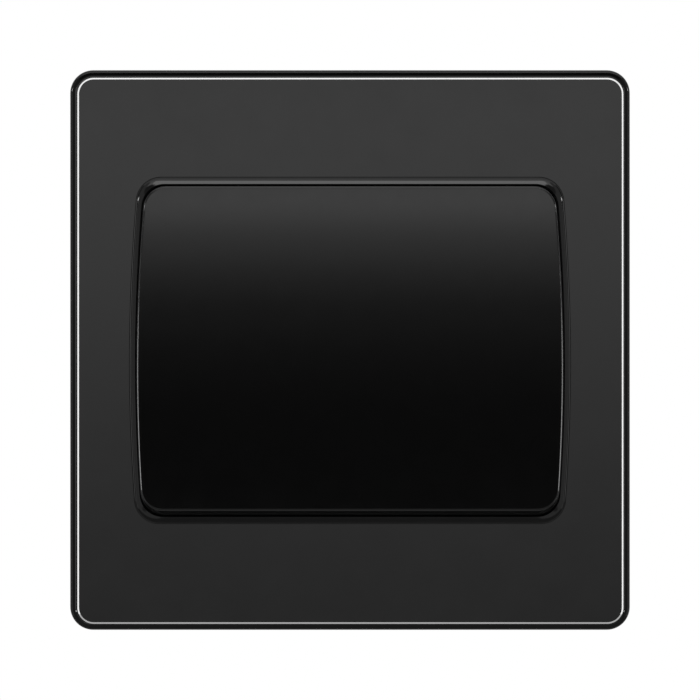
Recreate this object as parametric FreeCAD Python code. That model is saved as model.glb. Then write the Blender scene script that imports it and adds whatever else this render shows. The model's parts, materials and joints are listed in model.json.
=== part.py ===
"""One-gang rocker light switch with a clip-on metal plate, as separate pieces. Sizes are in millimetres.

+X is right, +Z is up and the front faces -Y. The wall is the plane y = 0, and the origin is the
centre of the plate on the wall. At rest the switch is off, with the top of the rocker pressed in.
"""

import FreeCAD, Part
import math
import os

Vector = FreeCAD.Vector

# Cover: the moulded carrier and the metal plate that lies in it
carrier_side = 95.0
carrier_corner = 3.9
cover_depth = 8.5
cover_wall_gap = 0.3
carrier_skirt = 1.6
carrier_web = 1.5
rim_lip = 1.0
rim_step = 0.3
rim_edge = 0.5
plate_thickness = 1.5
plate_bevel = 0.3
plate_gap = 0.15
carrier_rib_width = 1.2
carrier_rib_spacing = 20.0
carrier_side_rib_place = 16.0
pry_notch_half_width = 4.0
pry_notch_depth = 1.2

# Opening in the plate, with straight ends and bowed sides, and the bezel that lines it
opening_width = 74.94
opening_height = 58.75
opening_corner = 4.2
side_bow_radius = 327.0
bezel_gap = 0.1
bezel_side = 0.95
bezel_end = 1.08
bezel_proud = 0.7
bezel_edge = 0.3
bezel_draft = 0.3

# Tongues that hold the plate, bent over behind the carrier
tongue_place = 13.0
tongue_half_width = 2.5
tongue_thickness = 0.8
tongue_foot = 2.4

# Rocker: its end walls follow the pivot axis in bands, and its face is dished
tilt = 4.0
edge_ahead = 5.6
pressed_proud = 0.4
rocker_side_gap = 0.22
rocker_end_gap = 0.3
rocker_corner = 3.9
rocker_wall = 1.8
rocker_bands = 2
rocker_edge = 0.3
rocker_stop_gap = 0.5
rocker_rib_width = 1.2
rocker_rib_rear = -0.9
rocker_rib_places = (18.2, 28.0)
rocker_cross_rib_place = 14.5

# Dolly: the lever behind the cap, with trunnions and a hollow stem
dolly_half_width = 12.9
dolly_half_height = 8.0
dolly_plate = 2.0
cheek_thickness = 1.8
cheek_wall = 0.6
cheek_half_height = 2.4
trunnion_radius = 1.2
trunnion_fit = 0.06
stem_radius = 2.6
stem_bore_start = 1.0
gusset_width = 1.2
gusset_reach = 10.0
gusset_depth = 6.0
hook_half_width = 4.0
hook_thickness = 1.2
hook_grip = 0.6
hook_length = 0.6

# Plunger and its coil spring
plunger_radius = 1.5
plunger_fit = 0.08
plunger_inside = 5.5
plunger_outside = 3.2
plunger_nose = 0.5
plunger_taper = 1.6
spigot_radius = 0.7
spigot_length = 1.2
coil_wire_radius = 0.22
coil_turns = 4
coil_steps = 6
coil_sides = 5

# Mounting frame
frame_skirt_gap = 1.9
frame_web_gap = 0.2
frame_corner = 3.0
frame_rim = 1.8
frame_web = 2.2
frame_hollow = 0.8
well_step = 0.5
well_half_height = 11.0
ear_gap = 0.3
ear_thickness = 3.2
ear_wall = 1.0
ear_mouth = 1.0
boss_wall = 1.6
frame_rib_height = 1.2
frame_rib_width = 1.2
frame_inner_rib_place = 8.0
frame_outer_rib_places = (6.5, 37.5)

# Fixing screws into the wall box
fixing_spacing = 60.3
fixing_pad_half_width = 5.5
fixing_pad_half_height = 4.5
fixing_pad_height = 0.6
fixing_hole_radius = 1.9
fixing_slot_length = 7.0
fixing_head_radius = 3.3
fixing_head = 1.6
fixing_neck_radius = 1.5
fixing_thread_radius = 1.75
fixing_thread_start = 0.2
fixing_thread_end = 19.0
screw_play = 0.05
screw_slot_width = 0.9
screw_slot_depth = 0.9

# Mechanism housing behind the frame, and its two screws
housing_wall = 1.6
housing_rear_wall = 1.65
housing_half_height = 17.5
housing_corner = 2.0
housing_edge = 0.8
chamber_half_width = 9.6
chamber_margin = 3.0
divider = 1.2
lug_thickness = 2.0
lug_x = 23.5
lug_z = 12.0
lug_radius = 3.5
lug_play = 0.2
lug_screw_radius = 0.95
lug_screw_bite = 3.0
lug_screw_head_radius = 2.1
lug_screw_head = 1.3
lug_screw_recess = 0.7
lug_screw_cross = 0.25
pilot_tail = 0.6

# Wire terminals, with headless clamp screws
block_width = 7.4
block_height = 8.0
block_depth = 9.0
block_edge = 0.4
block_play = 0.1
wire_bore_radius = 1.9
wire_bore_depth = 3.1
wire_entry_radius = 2.4
clamp_screw_radius = 1.75
clamp_screw_length = 5.8
clamp_screw_lift = 0.5
clamp_access = 0.35

# Contacts: a see-saw blade on a saddle, and a fixed arm at each end of it
saddle_y = 11.0
blade_angle = 8.0
blade_half_width = 3.0
blade_end_half_width = 2.3
blade_half_length = 10.4
blade_thickness = 0.8
blade_stand_off = 0.4
ridge_radius = 0.8
ridge_fit = 0.08
saddle_half_height = 1.7
strap_thickness = 0.8
strap_half_width = 2.5
arm_half_height = 2.0
arm_reach = 2.2
tip_half_width = 1.8
tip_half_height = 1.3
tip_place = 9.0
tip_side = 0.45
fixed_tip_side = 0.4
tip_crown = 0.35
tip_gap = 0.1
nose_gap = 0.09

# Spring clips on the frame's rim
clip_place = 25.0
clip_half_width = 3.0
clip_thickness = 0.4
clip_gap = 0.1
clip_bend = 0.15
clip_crest = 0.3
clip_bulge_y = -2.4
clip_grip = 0.2
clip_groove_depth = 0.5
clip_groove_half_height = 1.0
clip_notch_depth = 1.0
clip_notch_play = 0.4

# Earth parts
earth_strap = 0.6
earth_strap_half_width = 3.0
earth_eyelet_margin = 2.6
earth_block_z = -27.0
earth_window_half_height = 2.2
earth_window_half_width = 3.5
earth_leaf = 0.35
earth_leaf_half_width = 2.0
earth_leaf_bend = 0.5
earth_contact_gap = 0.1

# How far fused pieces run into each other, how far cutters run past, and the gap of a seat
merge = 0.1
past = 1.0
seat_gap = 0.05

# Depths of the cover and the frame
plate_front = -cover_depth
plate_rear = plate_front + plate_thickness
carrier_front = plate_front + rim_step
carrier_web_rear = plate_rear + carrier_web
bezel_front = plate_front - bezel_proud
frame_front = carrier_web_rear + frame_web_gap
web_rear = -frame_hollow
web_front = web_rear - frame_web
frame_rib_front = web_front - frame_rib_height
fixing_pad_front = web_front - fixing_pad_height
pilot_end = web_rear - lug_screw_bite - pilot_tail
boss_front = pilot_end - pilot_tail

# Widths of the cover and the frame
recess_side = carrier_side - 2 * rim_lip
recess_corner = carrier_corner - rim_lip
plate_side = recess_side - 2 * plate_gap
plate_corner = recess_corner - plate_gap
skirt_inside = carrier_side - 2 * carrier_skirt
frame_side = skirt_inside - 2 * frame_skirt_gap
frame_inside = frame_side - 2 * frame_rim
bezel_width = opening_width - 2 * bezel_gap
bezel_height = opening_height - 2 * bezel_gap
bezel_corner = opening_corner - bezel_gap
mouth_width = bezel_width - 2 * bezel_side
mouth_height = bezel_height - 2 * bezel_end
mouth_corner = bezel_corner - bezel_draft
fixing_x = fixing_spacing / 2
earth_x = -fixing_x
earth_contact_z = -(opening_height + frame_inside) / 4
tongue_z = (opening_height + frame_inside) / 4

# The rocker and the dolly, about the pivot axis
wall_radius = mouth_height / 2 + bezel_draft - rocker_end_gap
rocker_width = mouth_width - 2 * rocker_side_gap
half_length = math.sqrt(wall_radius**2 - edge_ahead**2)
sine = math.sin(math.radians(tilt))
cosine = math.cos(math.radians(tilt))
pivot_y = bezel_front - pressed_proud + edge_ahead * cosine - half_length * sine
rocker_rear = (web_front - rocker_stop_gap - pivot_y - wall_radius * sine) / cosine
dish_radius = half_length / sine
dish_centre = -edge_ahead - dish_radius * cosine
cap_inner_face = dish_centre + dish_radius + rocker_wall
dolly_front = cap_inner_face + seat_gap
dolly_rear = dolly_front + dolly_plate
ear_hole_radius = trunnion_radius + trunnion_fit
ear_inside = dolly_half_width + ear_gap
ear_outside = ear_inside + ear_thickness
well_half_width = dolly_half_width - well_step
stem_bore_radius = plunger_radius + plunger_fit
plunger_end = saddle_y - blade_stand_off - blade_thickness - nose_gap - pivot_y
stem_end = plunger_end - plunger_outside
plunger_start = stem_end - plunger_inside

# The contacts: where a closed moving tip has its crown, behind and beside the saddle's axis
tip_rise = tip_side + tip_crown - blade_stand_off
blade_sine = math.sin(math.radians(blade_angle))
blade_cosine = math.cos(math.radians(blade_angle))
closed_behind = tip_rise * blade_cosine + tip_place * blade_sine
closed_beside = tip_place * blade_cosine - tip_rise * blade_sine
strap_front = saddle_y + closed_behind + tip_gap + tip_crown + fixed_tip_side
strap_rear = strap_front + strap_thickness

# The housing and its terminals
housing_floor = strap_rear + seat_gap
housing_rear = housing_floor + housing_rear_wall
chamber_half_height = blade_half_length + chamber_margin
pocket_inside = chamber_half_width + divider
pocket_outside = pocket_inside + block_width + 2 * block_play
pocket_top = housing_half_height - housing_wall
housing_half_width = pocket_outside + housing_wall
terminal_x = (pocket_outside + pocket_inside) / 2
terminal_z = pocket_top - block_play - block_height / 2
pocket_foot = terminal_z - block_height / 2 - block_play
bore_y = strap_rear - block_depth + wire_bore_depth
clamp_hole_radius = clamp_screw_radius + screw_play
clamp_places = ((-terminal_x, terminal_z), (terminal_x, terminal_z), (terminal_x, -terminal_z))
lug_places = ((-lug_x, lug_z), (lug_x, -lug_z))


def box(x0, x1, y0, y1, z0, z1):
    """A block between two corners, whose places along X and Z may come in either order."""
    x0, x1 = sorted((x0, x1))
    z0, z1 = sorted((z0, z1))
    return Part.makeBox(x1 - x0, y1 - y0, z1 - z0, Vector(x0, y0, z0))


def slab(x, z, half_x, half_z, y0, y1):
    """A block centred on x and z, between two depths."""
    return box(x - half_x, x + half_x, y0, y1, z - half_z, z + half_z)


def rod_x(y, z, radius, x0, x1):
    """A round bar along X."""
    x0, x1 = sorted((x0, x1))
    return Part.makeCylinder(radius, x1 - x0, Vector(x0, y, z), Vector(1, 0, 0))


def rod_y(x, z, radius, y0, y1):
    """A round bar along Y."""
    return Part.makeCylinder(radius, y1 - y0, Vector(x, y0, z), Vector(0, 1, 0))


def rod_z(x, y, radius, z0, z1):
    """A round bar along Z."""
    z0, z1 = sorted((z0, z1))
    return Part.makeCylinder(radius, z1 - z0, Vector(x, y, z0), Vector(0, 0, 1))


def cone_y(x, z, radius0, radius1, y0, y1):
    """A round taper along Y, with its two end radii."""
    return Part.makeCone(radius0, radius1, y1 - y0, Vector(x, y0, z), Vector(0, 1, 0))


def line(start, end):
    """The edge of a straight line."""
    return Part.makeLine(start, end)


def arc(start, middle, end):
    """The edge of an arc through three points."""
    return Part.Arc(start, middle, end).toShape()


def bowed_outline(width, height, corner, y):
    """A closed outline at depth y, with straight ends, bowed sides and round corners."""
    bow = side_bow_radius
    bow_centre = width / 2 - bow
    corner_z = height / 2 - corner
    corner_x = bow_centre + math.sqrt((bow - corner) ** 2 - corner_z**2)
    lean = math.atan2(corner_z, corner_x - bow_centre)
    half_turn = (lean + math.pi / 2) / 2

    def at_corner(angle, x_side, z_side):
        x = corner_x + corner * math.cos(angle)
        z = corner_z + corner * math.sin(angle)
        return Vector(x_side * x, y, z_side * z)

    edges = []
    for side in (1, -1):
        top = at_corner(math.pi / 2, side, side)
        upper = at_corner(lean, side, side)
        lower = at_corner(lean, side, -side)
        foot = at_corner(math.pi / 2, side, -side)
        edges.append(line(at_corner(math.pi / 2, -side, side), top))
        edges.append(arc(top, at_corner(half_turn, side, side), upper))
        edges.append(arc(upper, Vector(side * width / 2, y, 0), lower))
        edges.append(arc(lower, at_corner(half_turn, side, -side), foot))
    return Part.Wire(Part.__sortEdges__(edges))


def straight_outline(width, height, corner, y):
    """A closed outline at depth y: a rectangle with round corners."""
    x = width / 2 - corner
    z = height / 2 - corner
    arcs = []
    for centre_x, centre_z, middle in ((x, z, 45), (-x, z, 135), (-x, -z, 225), (x, -z, 315)):
        turns = [math.radians(middle + step) for step in (-45, 0, 45)]
        spokes = [(corner * math.cos(turn), corner * math.sin(turn)) for turn in turns]
        points = [Vector(centre_x + x_part, y, centre_z + z_part) for x_part, z_part in spokes]
        arcs.append(arc(*points))
    edges = []
    for current, following in zip(arcs, arcs[1:] + arcs[:1]):
        edges += [current, line(current.lastVertex().Point, following.firstVertex().Point)]
    return Part.Wire(edges)


def prism(outline, y_end):
    """The solid from a flat outline to the depth y_end."""
    y_start = outline.BoundBox.YMin
    return Part.Face(outline).extrude(Vector(0, y_end - y_start, 0))


def square_prism(side, corner, y0, y1):
    """A square block with round corners between two depths."""
    return prism(straight_outline(side, side, corner, y0), y1)


def polygon_prism(points, along):
    """The solid from a flat polygon, given by its corners, and the vector it runs along."""
    return Part.Face(Part.makePolygon(points + points[:1])).extrude(along)


def edges_at_y(shape, y):
    """The edges that lie wholly at depth y."""
    near = 1e-4
    boxes = [(edge, edge.BoundBox) for edge in shape.Edges]
    return [edge for edge, b in boxes if abs(b.YMin - y) < near and abs(b.YMax - y) < near]


def fused(shapes):
    """One solid made of shapes that overlap or touch."""
    return shapes[0].multiFuse(shapes[1:]).removeSplitter()


def group(shapes):
    """Separate solids kept together, also as one tool that cuts them all."""
    return Part.makeCompound(shapes)


def mirrored_z(shape):
    """The mirror image of a shape across the plane z = 0."""
    return shape.mirror(Vector(0, 0, 0), Vector(0, 0, 1))


def tilted(shape):
    """A shape drawn about the pivot axis, put in place with the switch off."""
    placed = shape.copy()
    placed.rotate(Vector(0, 0, 0), Vector(1, 0, 0), -tilt)
    placed.translate(Vector(0, pivot_y, 0))
    return placed


def rocked(shape):
    """A shape drawn about the saddle's axis, put in place with the switch off."""
    placed = shape.copy()
    placed.rotate(Vector(0, 0, 0), Vector(1, 0, 0), blade_angle)
    placed.translate(Vector(0, saddle_y, 0))
    return placed


def bent_strip(corners, thickness, x, half_width):
    """A strip of sheet on the outer side of a path of (y, z) corners, centred on x."""
    path = Part.makePolygon([Vector(x - half_width, y, z) for y, z in corners])
    return path.makeOffset2D(-thickness, 2, True, True).extrude(Vector(2 * half_width, 0, 0))


def front_plate():
    """The metal plate: polished bevel, bowed opening and four tongues bent over behind the carrier."""
    sheet = square_prism(plate_side, plate_corner, plate_front, plate_rear)
    sheet = sheet.makeChamfer(plate_bevel, edges_at_y(sheet, plate_front))
    hole = bowed_outline(opening_width, opening_height, opening_corner, plate_front - past)
    parts = [sheet.cut(prism(hole, plate_rear + past))]
    half = tongue_thickness / 2
    foot_rear = carrier_web_rear + tongue_thickness
    for x in (tongue_place, -tongue_place):
        parts.append(slab(x, tongue_z, tongue_half_width, half, plate_rear - merge, foot_rear))
        foot_z = tongue_z + half + tongue_foot / 2
        parts.append(slab(x, foot_z, tongue_half_width, tongue_foot / 2, carrier_web_rear, foot_rear))
    return fused(parts + [mirrored_z(part) for part in parts[1:]])


def carrier_ribs():
    """Stiffening ribs behind the carrier's web, between the opening and the frame's rim."""
    reach = frame_inside / 2 - past
    start_z = opening_height / 2 + past
    start_x = opening_width / 2 + past
    half = carrier_rib_width / 2
    ribs = []
    for side in (1, -1):
        for step in (-1, 0, 1):
            x = step * carrier_rib_spacing
            z0, z1 = side * start_z, side * reach
            ribs.append(box(x - half, x + half, plate_rear, frame_rib_front, z0, z1))
        for step in (-1, 1):
            z = step * carrier_side_rib_place
            x0, x1 = side * start_x, side * reach
            ribs.append(box(x0, x1, plate_rear, frame_rib_front, z - half, z + half))
    return ribs


def mouth_outline(grow, corner, y):
    """The outline of the hole through the bezel, larger all round by grow."""
    return bowed_outline(mouth_width + 2 * grow, mouth_height + 2 * grow, corner, y)


def bezel_mouth():
    """The drafted hole through the bezel, narrowest just behind its bevelled front edge."""
    narrow = mouth_outline(0, mouth_corner, bezel_front)
    wide = mouth_outline(bezel_draft, mouth_corner, carrier_web_rear)
    flare = mouth_outline(bezel_edge, mouth_corner + bezel_edge, bezel_front)
    throat = mouth_outline(0, mouth_corner, bezel_front + bezel_edge)
    return [Part.makeLoft(pair, True, True) for pair in ([narrow, wide], [flare, throat])]


def plate_carrier():
    """The gloss moulding under the plate: skirt, web, raised bezel and ribs."""
    body = square_prism(carrier_side, carrier_corner, carrier_front, -cover_wall_gap)
    body = body.makeChamfer(rim_edge, edges_at_y(body, carrier_front))
    body = body.cut(square_prism(recess_side, recess_corner, carrier_front - past, plate_rear))
    inner_corner = carrier_corner - carrier_skirt
    body = body.cut(square_prism(skirt_inside, inner_corner, carrier_web_rear, past))
    bezel = prism(bowed_outline(bezel_width, bezel_height, bezel_corner, bezel_front), carrier_web_rear)
    bezel = bezel.makeChamfer(bezel_edge, edges_at_y(bezel, bezel_front))
    body = fused([body, bezel] + carrier_ribs())
    for cutter in bezel_mouth() + carrier_cutouts():
        body = body.cut(cutter)
    return body


def earth_window(y0, y1):
    """The window through a web that the earth spring passes."""
    return slab(earth_x, earth_contact_z, earth_window_half_width, earth_window_half_height, y0, y1)


def carrier_cutouts():
    """The tongues' slots, the clips' grooves, the earth spring's window and the notch at the foot."""
    front, rear = plate_rear - merge, carrier_web_rear + merge
    cuts = [earth_window(front, rear)]
    half_x = tongue_half_width + seat_gap
    half_z = tongue_thickness / 2 + seat_gap
    wall = skirt_inside / 2
    clip_half = clip_half_width + clip_notch_play
    y0 = clip_bulge_y - clip_groove_half_height
    y1 = clip_bulge_y + clip_groove_half_height
    for side in (1, -1):
        for x in (tongue_place, -tongue_place):
            cuts.append(slab(x, side * tongue_z, half_x, half_z, front, rear))
        for x in (clip_place, -clip_place):
            z0 = side * (wall - past)
            z1 = side * (wall + clip_groove_depth)
            cuts.append(box(x - clip_half, x + clip_half, y0, y1, z0, z1))
    outer = -carrier_side / 2 - past
    inner = -skirt_inside / 2 + past
    half = pry_notch_half_width
    cuts.append(box(-half, half, -cover_wall_gap - pry_notch_depth, past, outer, inner))
    return cuts


def plate_clips():
    """Four leaf springs that straddle the frame's rim in its notches and bulge outwards."""
    inner = frame_inside / 2 - clip_gap
    outer = frame_side / 2 + clip_gap
    bridge = frame_front + clip_notch_depth - clip_gap
    swell = skirt_inside / 2 + clip_grip - clip_thickness
    corners = [
        (web_front - 2 * clip_gap, inner),
        (bridge + clip_bend, inner),
        (bridge, inner + clip_bend),
        (bridge, outer - clip_bend),
        (bridge + clip_bend, outer),
        (clip_bulge_y - clip_crest, swell),
        (clip_bulge_y + clip_crest, swell),
        (web_rear, outer),
    ]
    clips = []
    for x in (clip_place, -clip_place):
        clip = bent_strip(corners, clip_thickness, x, clip_half_width)
        clips += [clip, mirrored_z(clip)]
    return group(clips)


def fixing_holes():
    """A round hole on the left and a slot on the right for the box screws."""
    front = fixing_pad_front - past
    rear = web_rear + past
    reach = fixing_slot_length / 2 - fixing_hole_radius
    return [
        rod_y(-fixing_x, 0, fixing_hole_radius, front, rear),
        slab(fixing_x, 0, reach, fixing_hole_radius, front, rear),
        rod_y(fixing_x - reach, 0, fixing_hole_radius, front, rear),
        rod_y(fixing_x + reach, 0, fixing_hole_radius, front, rear),
    ]


def pivot_ears():
    """Two ears with snap-in mouths that carry the dolly's trunnions."""
    outer = ear_hole_radius + ear_wall
    ears = []
    for side in (1, -1):
        x0 = side * ear_inside
        x1 = side * ear_outside
        post = box(x0, x1, pivot_y, web_front + merge, -outer, outer)
        ear = fused([post, rod_x(pivot_y, 0, outer, x0, x1)])
        cuts = [
            rod_x(pivot_y, 0, ear_hole_radius, x0 - side, x1 + side),
            box(x0 - side, x1 + side, pivot_y - 2 * outer, pivot_y, -ear_mouth, ear_mouth),
        ]
        ears.append(ear.cut(group(cuts)))
    return ears


def frame_ribs():
    """Ribs on the front of the frame's web, kept clear of the rocker's swing."""
    half = frame_rib_width / 2
    inner_end = half_length - 2 * rocker_wall
    outer_start = wall_radius + rocker_wall
    outer_end = frame_inside / 2 + half
    spans = [(frame_inner_rib_place, well_half_height, inner_end)]
    spans += [(place, outer_start, outer_end) for place in frame_outer_rib_places]
    ribs = []
    for place, start, end in spans:
        for side_x, side_z in ((1, 1), (1, -1), (-1, 1), (-1, -1)):
            x = side_x * place
            z0, z1 = side_z * start, side_z * end
            ribs.append(box(x - half, x + half, frame_rib_front, web_rear, z0, z1))
    return ribs


def mounting_frame():
    """The moulded base: rim, web, well, pivot ears, bosses, pads, ribs and fixing holes."""
    body = square_prism(frame_side, frame_corner, frame_front, 0)
    body = body.cut(square_prism(frame_inside, frame_corner - frame_rim, frame_front - past, web_front))
    body = body.cut(slab(0, 0, frame_inside / 2, frame_inside / 2, web_rear, past))
    pilot = lug_screw_radius + screw_play
    bosses = [rod_y(x, z, pilot + boss_wall, boss_front, web_rear) for x, z in lug_places]
    pad_x, pad_z = fixing_pad_half_width, fixing_pad_half_height
    bosses += [slab(x, 0, pad_x, pad_z, fixing_pad_front, web_rear) for x in (-fixing_x, fixing_x)]
    bosses.append(slab(fixing_x, 0, pad_x, pad_z, web_front, 0))
    body = fused([body] + bosses + pivot_ears() + frame_ribs())
    cuts = [slab(0, 0, well_half_width, well_half_height, web_front - merge, web_rear + past)]
    cuts += fixing_holes()
    cuts += [rod_y(x, z, pilot, pilot_end, web_rear + past) for x, z in lug_places]
    notch = clip_half_width + clip_notch_play
    notch_rear = frame_front + clip_notch_depth
    for x in (clip_place, -clip_place):
        for side in (1, -1):
            z0 = side * (frame_inside / 2 - past)
            z1 = side * (frame_side / 2 + past)
            cuts.append(box(x - notch, x + notch, frame_front - past, notch_rear, z0, z1))
    cuts.append(earth_window(web_front - past, web_rear + merge))
    return body.cut(group(cuts))


def fixing_screws():
    """Two box screws: slotted head, plain neck in the frame and thread beyond the wall."""
    front = fixing_pad_front - fixing_head
    screw = fused([
        rod_y(0, 0, fixing_head_radius, front, fixing_pad_front),
        rod_y(0, 0, fixing_neck_radius, fixing_pad_front - merge, fixing_thread_start),
        rod_y(0, 0, fixing_thread_radius, fixing_thread_start, fixing_thread_end),
    ])
    reach = fixing_head_radius + past
    screw = screw.cut(slab(0, 0, screw_slot_width / 2, reach, front - past, front + screw_slot_depth))
    return group([screw.translated(Vector(x, 0, 0)) for x in (-fixing_x, fixing_x)])


def rocker_form(inset, rear):
    """The rocker's outer shape, or the shape that lies inset inside it, about the pivot axis.

    The height of each outline is a chord of the circle about that axis, so the end walls stay as
    near to the bezel while the rocker moves.
    """
    front = -edge_ahead - past
    outlines = []
    for number in range(rocker_bands + 1):
        y = front + (rear - front) * number / rocker_bands
        height = 2 * (math.sqrt(wall_radius**2 - y**2) - inset)
        outlines.append(bowed_outline(rocker_width - 2 * inset, height, rocker_corner - inset, y))
    dish = rod_x(dish_centre, 0, dish_radius + inset, -rocker_width, rocker_width)
    return Part.makeLoft(outlines, True, True).cut(dish)


def cap_ribs():
    """The grid of ribs behind the cap's face."""
    half = rocker_rib_width / 2
    front = -edge_ahead
    bars = []
    for side in (1, -1):
        for place in rocker_rib_places:
            bars.append(slab(side * place, 0, half, wall_radius, front, rocker_rib_rear))
        bars.append(slab(0, side * rocker_cross_rib_place, rocker_width, half, front, rocker_rib_rear))
    return group(bars).common(rocker_form(rocker_wall / 2, rocker_rear)).Solids


def cap_hooks():
    """Two hooks behind the cap that grip the dolly's plate."""
    hooks = []
    start = dolly_half_height + seat_gap
    foot = cap_inner_face - rocker_wall / 4
    catch = dolly_rear + seat_gap
    rear = catch + hook_length
    half = hook_half_width
    for side in (1, -1):
        arm = box(-half, half, foot, rear, side * start, side * (start + hook_thickness))
        barb = box(-half, half, catch, rear, side * (start - hook_grip), side * start)
        hooks.append(arm.fuse(barb))
    return hooks


def rocker_cap():
    """The dished cap: walls that follow the pivot, a thin shell, ribs and snap hooks for the dolly."""
    outside = rocker_form(0, rocker_rear)
    face = max(outside.Faces, key=lambda f: -f.CenterOfMass.y * f.Area)
    outside = outside.makeChamfer(rocker_edge, face.Edges)
    shell = outside.cut(rocker_form(rocker_wall, rocker_rear + past))
    return tilted(fused([shell] + cap_ribs() + cap_hooks()))


def dolly():
    """The lever: a plate behind the cap, two cheeks with trunnions, a hollow stem and its gussets."""
    root = dolly_rear - merge
    parts = [
        slab(0, 0, dolly_half_width, dolly_half_height, dolly_front, dolly_rear),
        rod_y(0, 0, stem_radius, root, stem_end),
    ]
    cheek_rear = trunnion_radius + cheek_wall
    for side in (1, -1):
        outer = side * dolly_half_width
        inner = side * (dolly_half_width - cheek_thickness)
        parts.append(box(inner, outer, dolly_front, cheek_rear, -cheek_half_height, cheek_half_height))
        parts.append(rod_x(0, 0, trunnion_radius, inner, side * ear_outside))
    half = gusset_width / 2
    tip = stem_radius / 2
    corners = [(-gusset_reach, root), (gusset_reach, root), (tip, gusset_depth), (-tip, gusset_depth)]
    parts.append(polygon_prism([Vector(x, y, -half) for x, y in corners], Vector(0, 0, gusset_width)))
    return tilted(fused(parts).cut(rod_y(0, 0, stem_bore_radius, stem_bore_start, stem_end + past)))


def plunger():
    """The pin in the stem, with a tapered nose and a spigot that holds the coil."""
    shoulder = plunger_end - plunger_taper
    return tilted(fused([
        rod_y(0, 0, plunger_radius, plunger_start, shoulder),
        cone_y(0, 0, plunger_radius, plunger_nose, shoulder, plunger_end),
        rod_y(0, 0, spigot_radius, plunger_start - spigot_length, plunger_start + merge),
    ]))


def plunger_spring():
    """The coil between the bottom of the stem's bore and the plunger's shoulder."""
    radius = (stem_bore_radius + spigot_radius) / 2
    start = stem_bore_start + coil_wire_radius + seat_gap
    length = plunger_start - coil_wire_radius - seat_gap - start
    sections = []
    for number in range(coil_turns * coil_steps + 1):
        turned = number / coil_steps
        angle = 2 * math.pi * turned
        points = []
        for side in range(coil_sides):
            around = 2 * math.pi * side / coil_sides
            out = radius + coil_wire_radius * math.cos(around)
            y = start + length * turned / coil_turns + coil_wire_radius * math.sin(around)
            points.append(Vector(out * math.cos(angle), y, out * math.sin(angle)))
        sections.append(Part.makePolygon(points + points[:1]))
    return tilted(Part.makeLoft(sections, True, True))


def contact_tip(side_height):
    """A contact pad with a crowned face, standing along +Y from its seat at the origin."""
    half = tip_half_height
    top = side_height + tip_crown
    left = Vector(-tip_half_width, side_height, -half)
    right = Vector(-tip_half_width, side_height, half)
    crown = arc(left, Vector(-tip_half_width, top, 0), right)
    seat = [Vector(-tip_half_width, 0, half), Vector(-tip_half_width, 0, -half)]
    edges = [crown, line(right, seat[0]), line(seat[0], seat[1]), line(seat[1], left)]
    return Part.Face(Part.Wire(edges)).extrude(Vector(2 * tip_half_width, 0, 0))


def rocking_contact():
    """The see-saw blade: a strip that tapers to its ends, with a ridge that sits in the saddle."""
    front = -blade_stand_off - blade_thickness
    shoulder = saddle_half_height + past
    quarter = [(blade_half_width, shoulder), (blade_end_half_width, blade_half_length)]
    right = [(x, -z) for x, z in reversed(quarter)] + quarter
    corners = right + [(-x, z) for x, z in reversed(right)]
    blade = polygon_prism([Vector(x, front, z) for x, z in corners], Vector(0, blade_thickness, 0))
    return rocked(fused([blade, rod_x(0, 0, ridge_radius, -blade_half_width, blade_half_width)]))


def moving_contact_tips():
    """Two pads behind the ends of the blade."""
    tip = contact_tip(tip_side).translated(Vector(0, -blade_stand_off, 0))
    return group([rocked(tip.translated(Vector(0, 0, z))) for z in (tip_place, -tip_place)])


def fixed_contact_tips():
    """Two pads on the fixed arms, each a small gap behind where its moving tip closes."""
    tip = contact_tip(fixed_tip_side)
    tip.rotate(Vector(0, 0, 0), Vector(1, 0, 0), 180)
    return group([tip.translated(Vector(0, strap_front, z)) for z in (closed_beside, -closed_beside)])


def terminal_block(x, rear, z):
    """A clamp block with its wire bore along Z and its screw hole from the rear."""
    front = rear - block_depth
    y = front + wire_bore_depth
    block = slab(x, z, block_width / 2, block_height / 2, front, rear)
    block = block.makeChamfer(block_edge, edges_at_y(block, rear))
    block = block.cut(rod_z(x, y, wire_bore_radius, z - block_height, z + block_height))
    return block.cut(rod_y(x, z, clamp_hole_radius, y, rear + past))


def clamp_screw(x, rear, z):
    """A slotted headless screw in a clamp block, backed out so that the wire bore is free."""
    tip = rear - block_depth + wire_bore_depth + wire_bore_radius + clamp_screw_lift
    end = tip + clamp_screw_length
    screw = rod_y(x, z, clamp_screw_radius, tip, end)
    reach = clamp_screw_radius + past
    return screw.cut(slab(x, z, reach, screw_slot_width / 2, end - screw_slot_depth, end + past))


def com_terminal():
    """The common terminal: block, strap along the housing's floor, and the blade's saddle."""
    block = terminal_block(-terminal_x, strap_rear, terminal_z)
    half = strap_half_width
    left = -terminal_x - half
    leg = box(left, left + 2 * half, strap_front, strap_rear, -half, terminal_z)
    hole = rod_y(-terminal_x, terminal_z, clamp_hole_radius, strap_front - past, strap_rear + past)
    leg = leg.cut(hole)
    strap = box(left, blade_half_width, strap_front, strap_rear, -half, half)
    saddle = slab(0, 0, blade_half_width, saddle_half_height, saddle_y, strap_front + merge)
    groove = rod_x(saddle_y, 0, ridge_radius + ridge_fit, -2 * blade_half_width, 2 * blade_half_width)
    return fused([block, leg, strap, saddle.cut(groove)])


def switched_terminal(side):
    """A switched terminal: block and the arm that carries a fixed tip. side is 1 for the upper one."""
    block = terminal_block(terminal_x, strap_rear, side * terminal_z)
    inner = terminal_x - block_width / 2 + 2 * block_play
    z0 = side * (closed_beside - arm_half_height)
    z1 = side * (closed_beside + arm_half_height)
    return fused([block, box(-arm_reach, inner, strap_front, strap_rear, z0, z1)])


def terminal_screws():
    """The three screws of the wire terminals."""
    return group([clamp_screw(x, strap_rear, z) for x, z in clamp_places])


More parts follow.
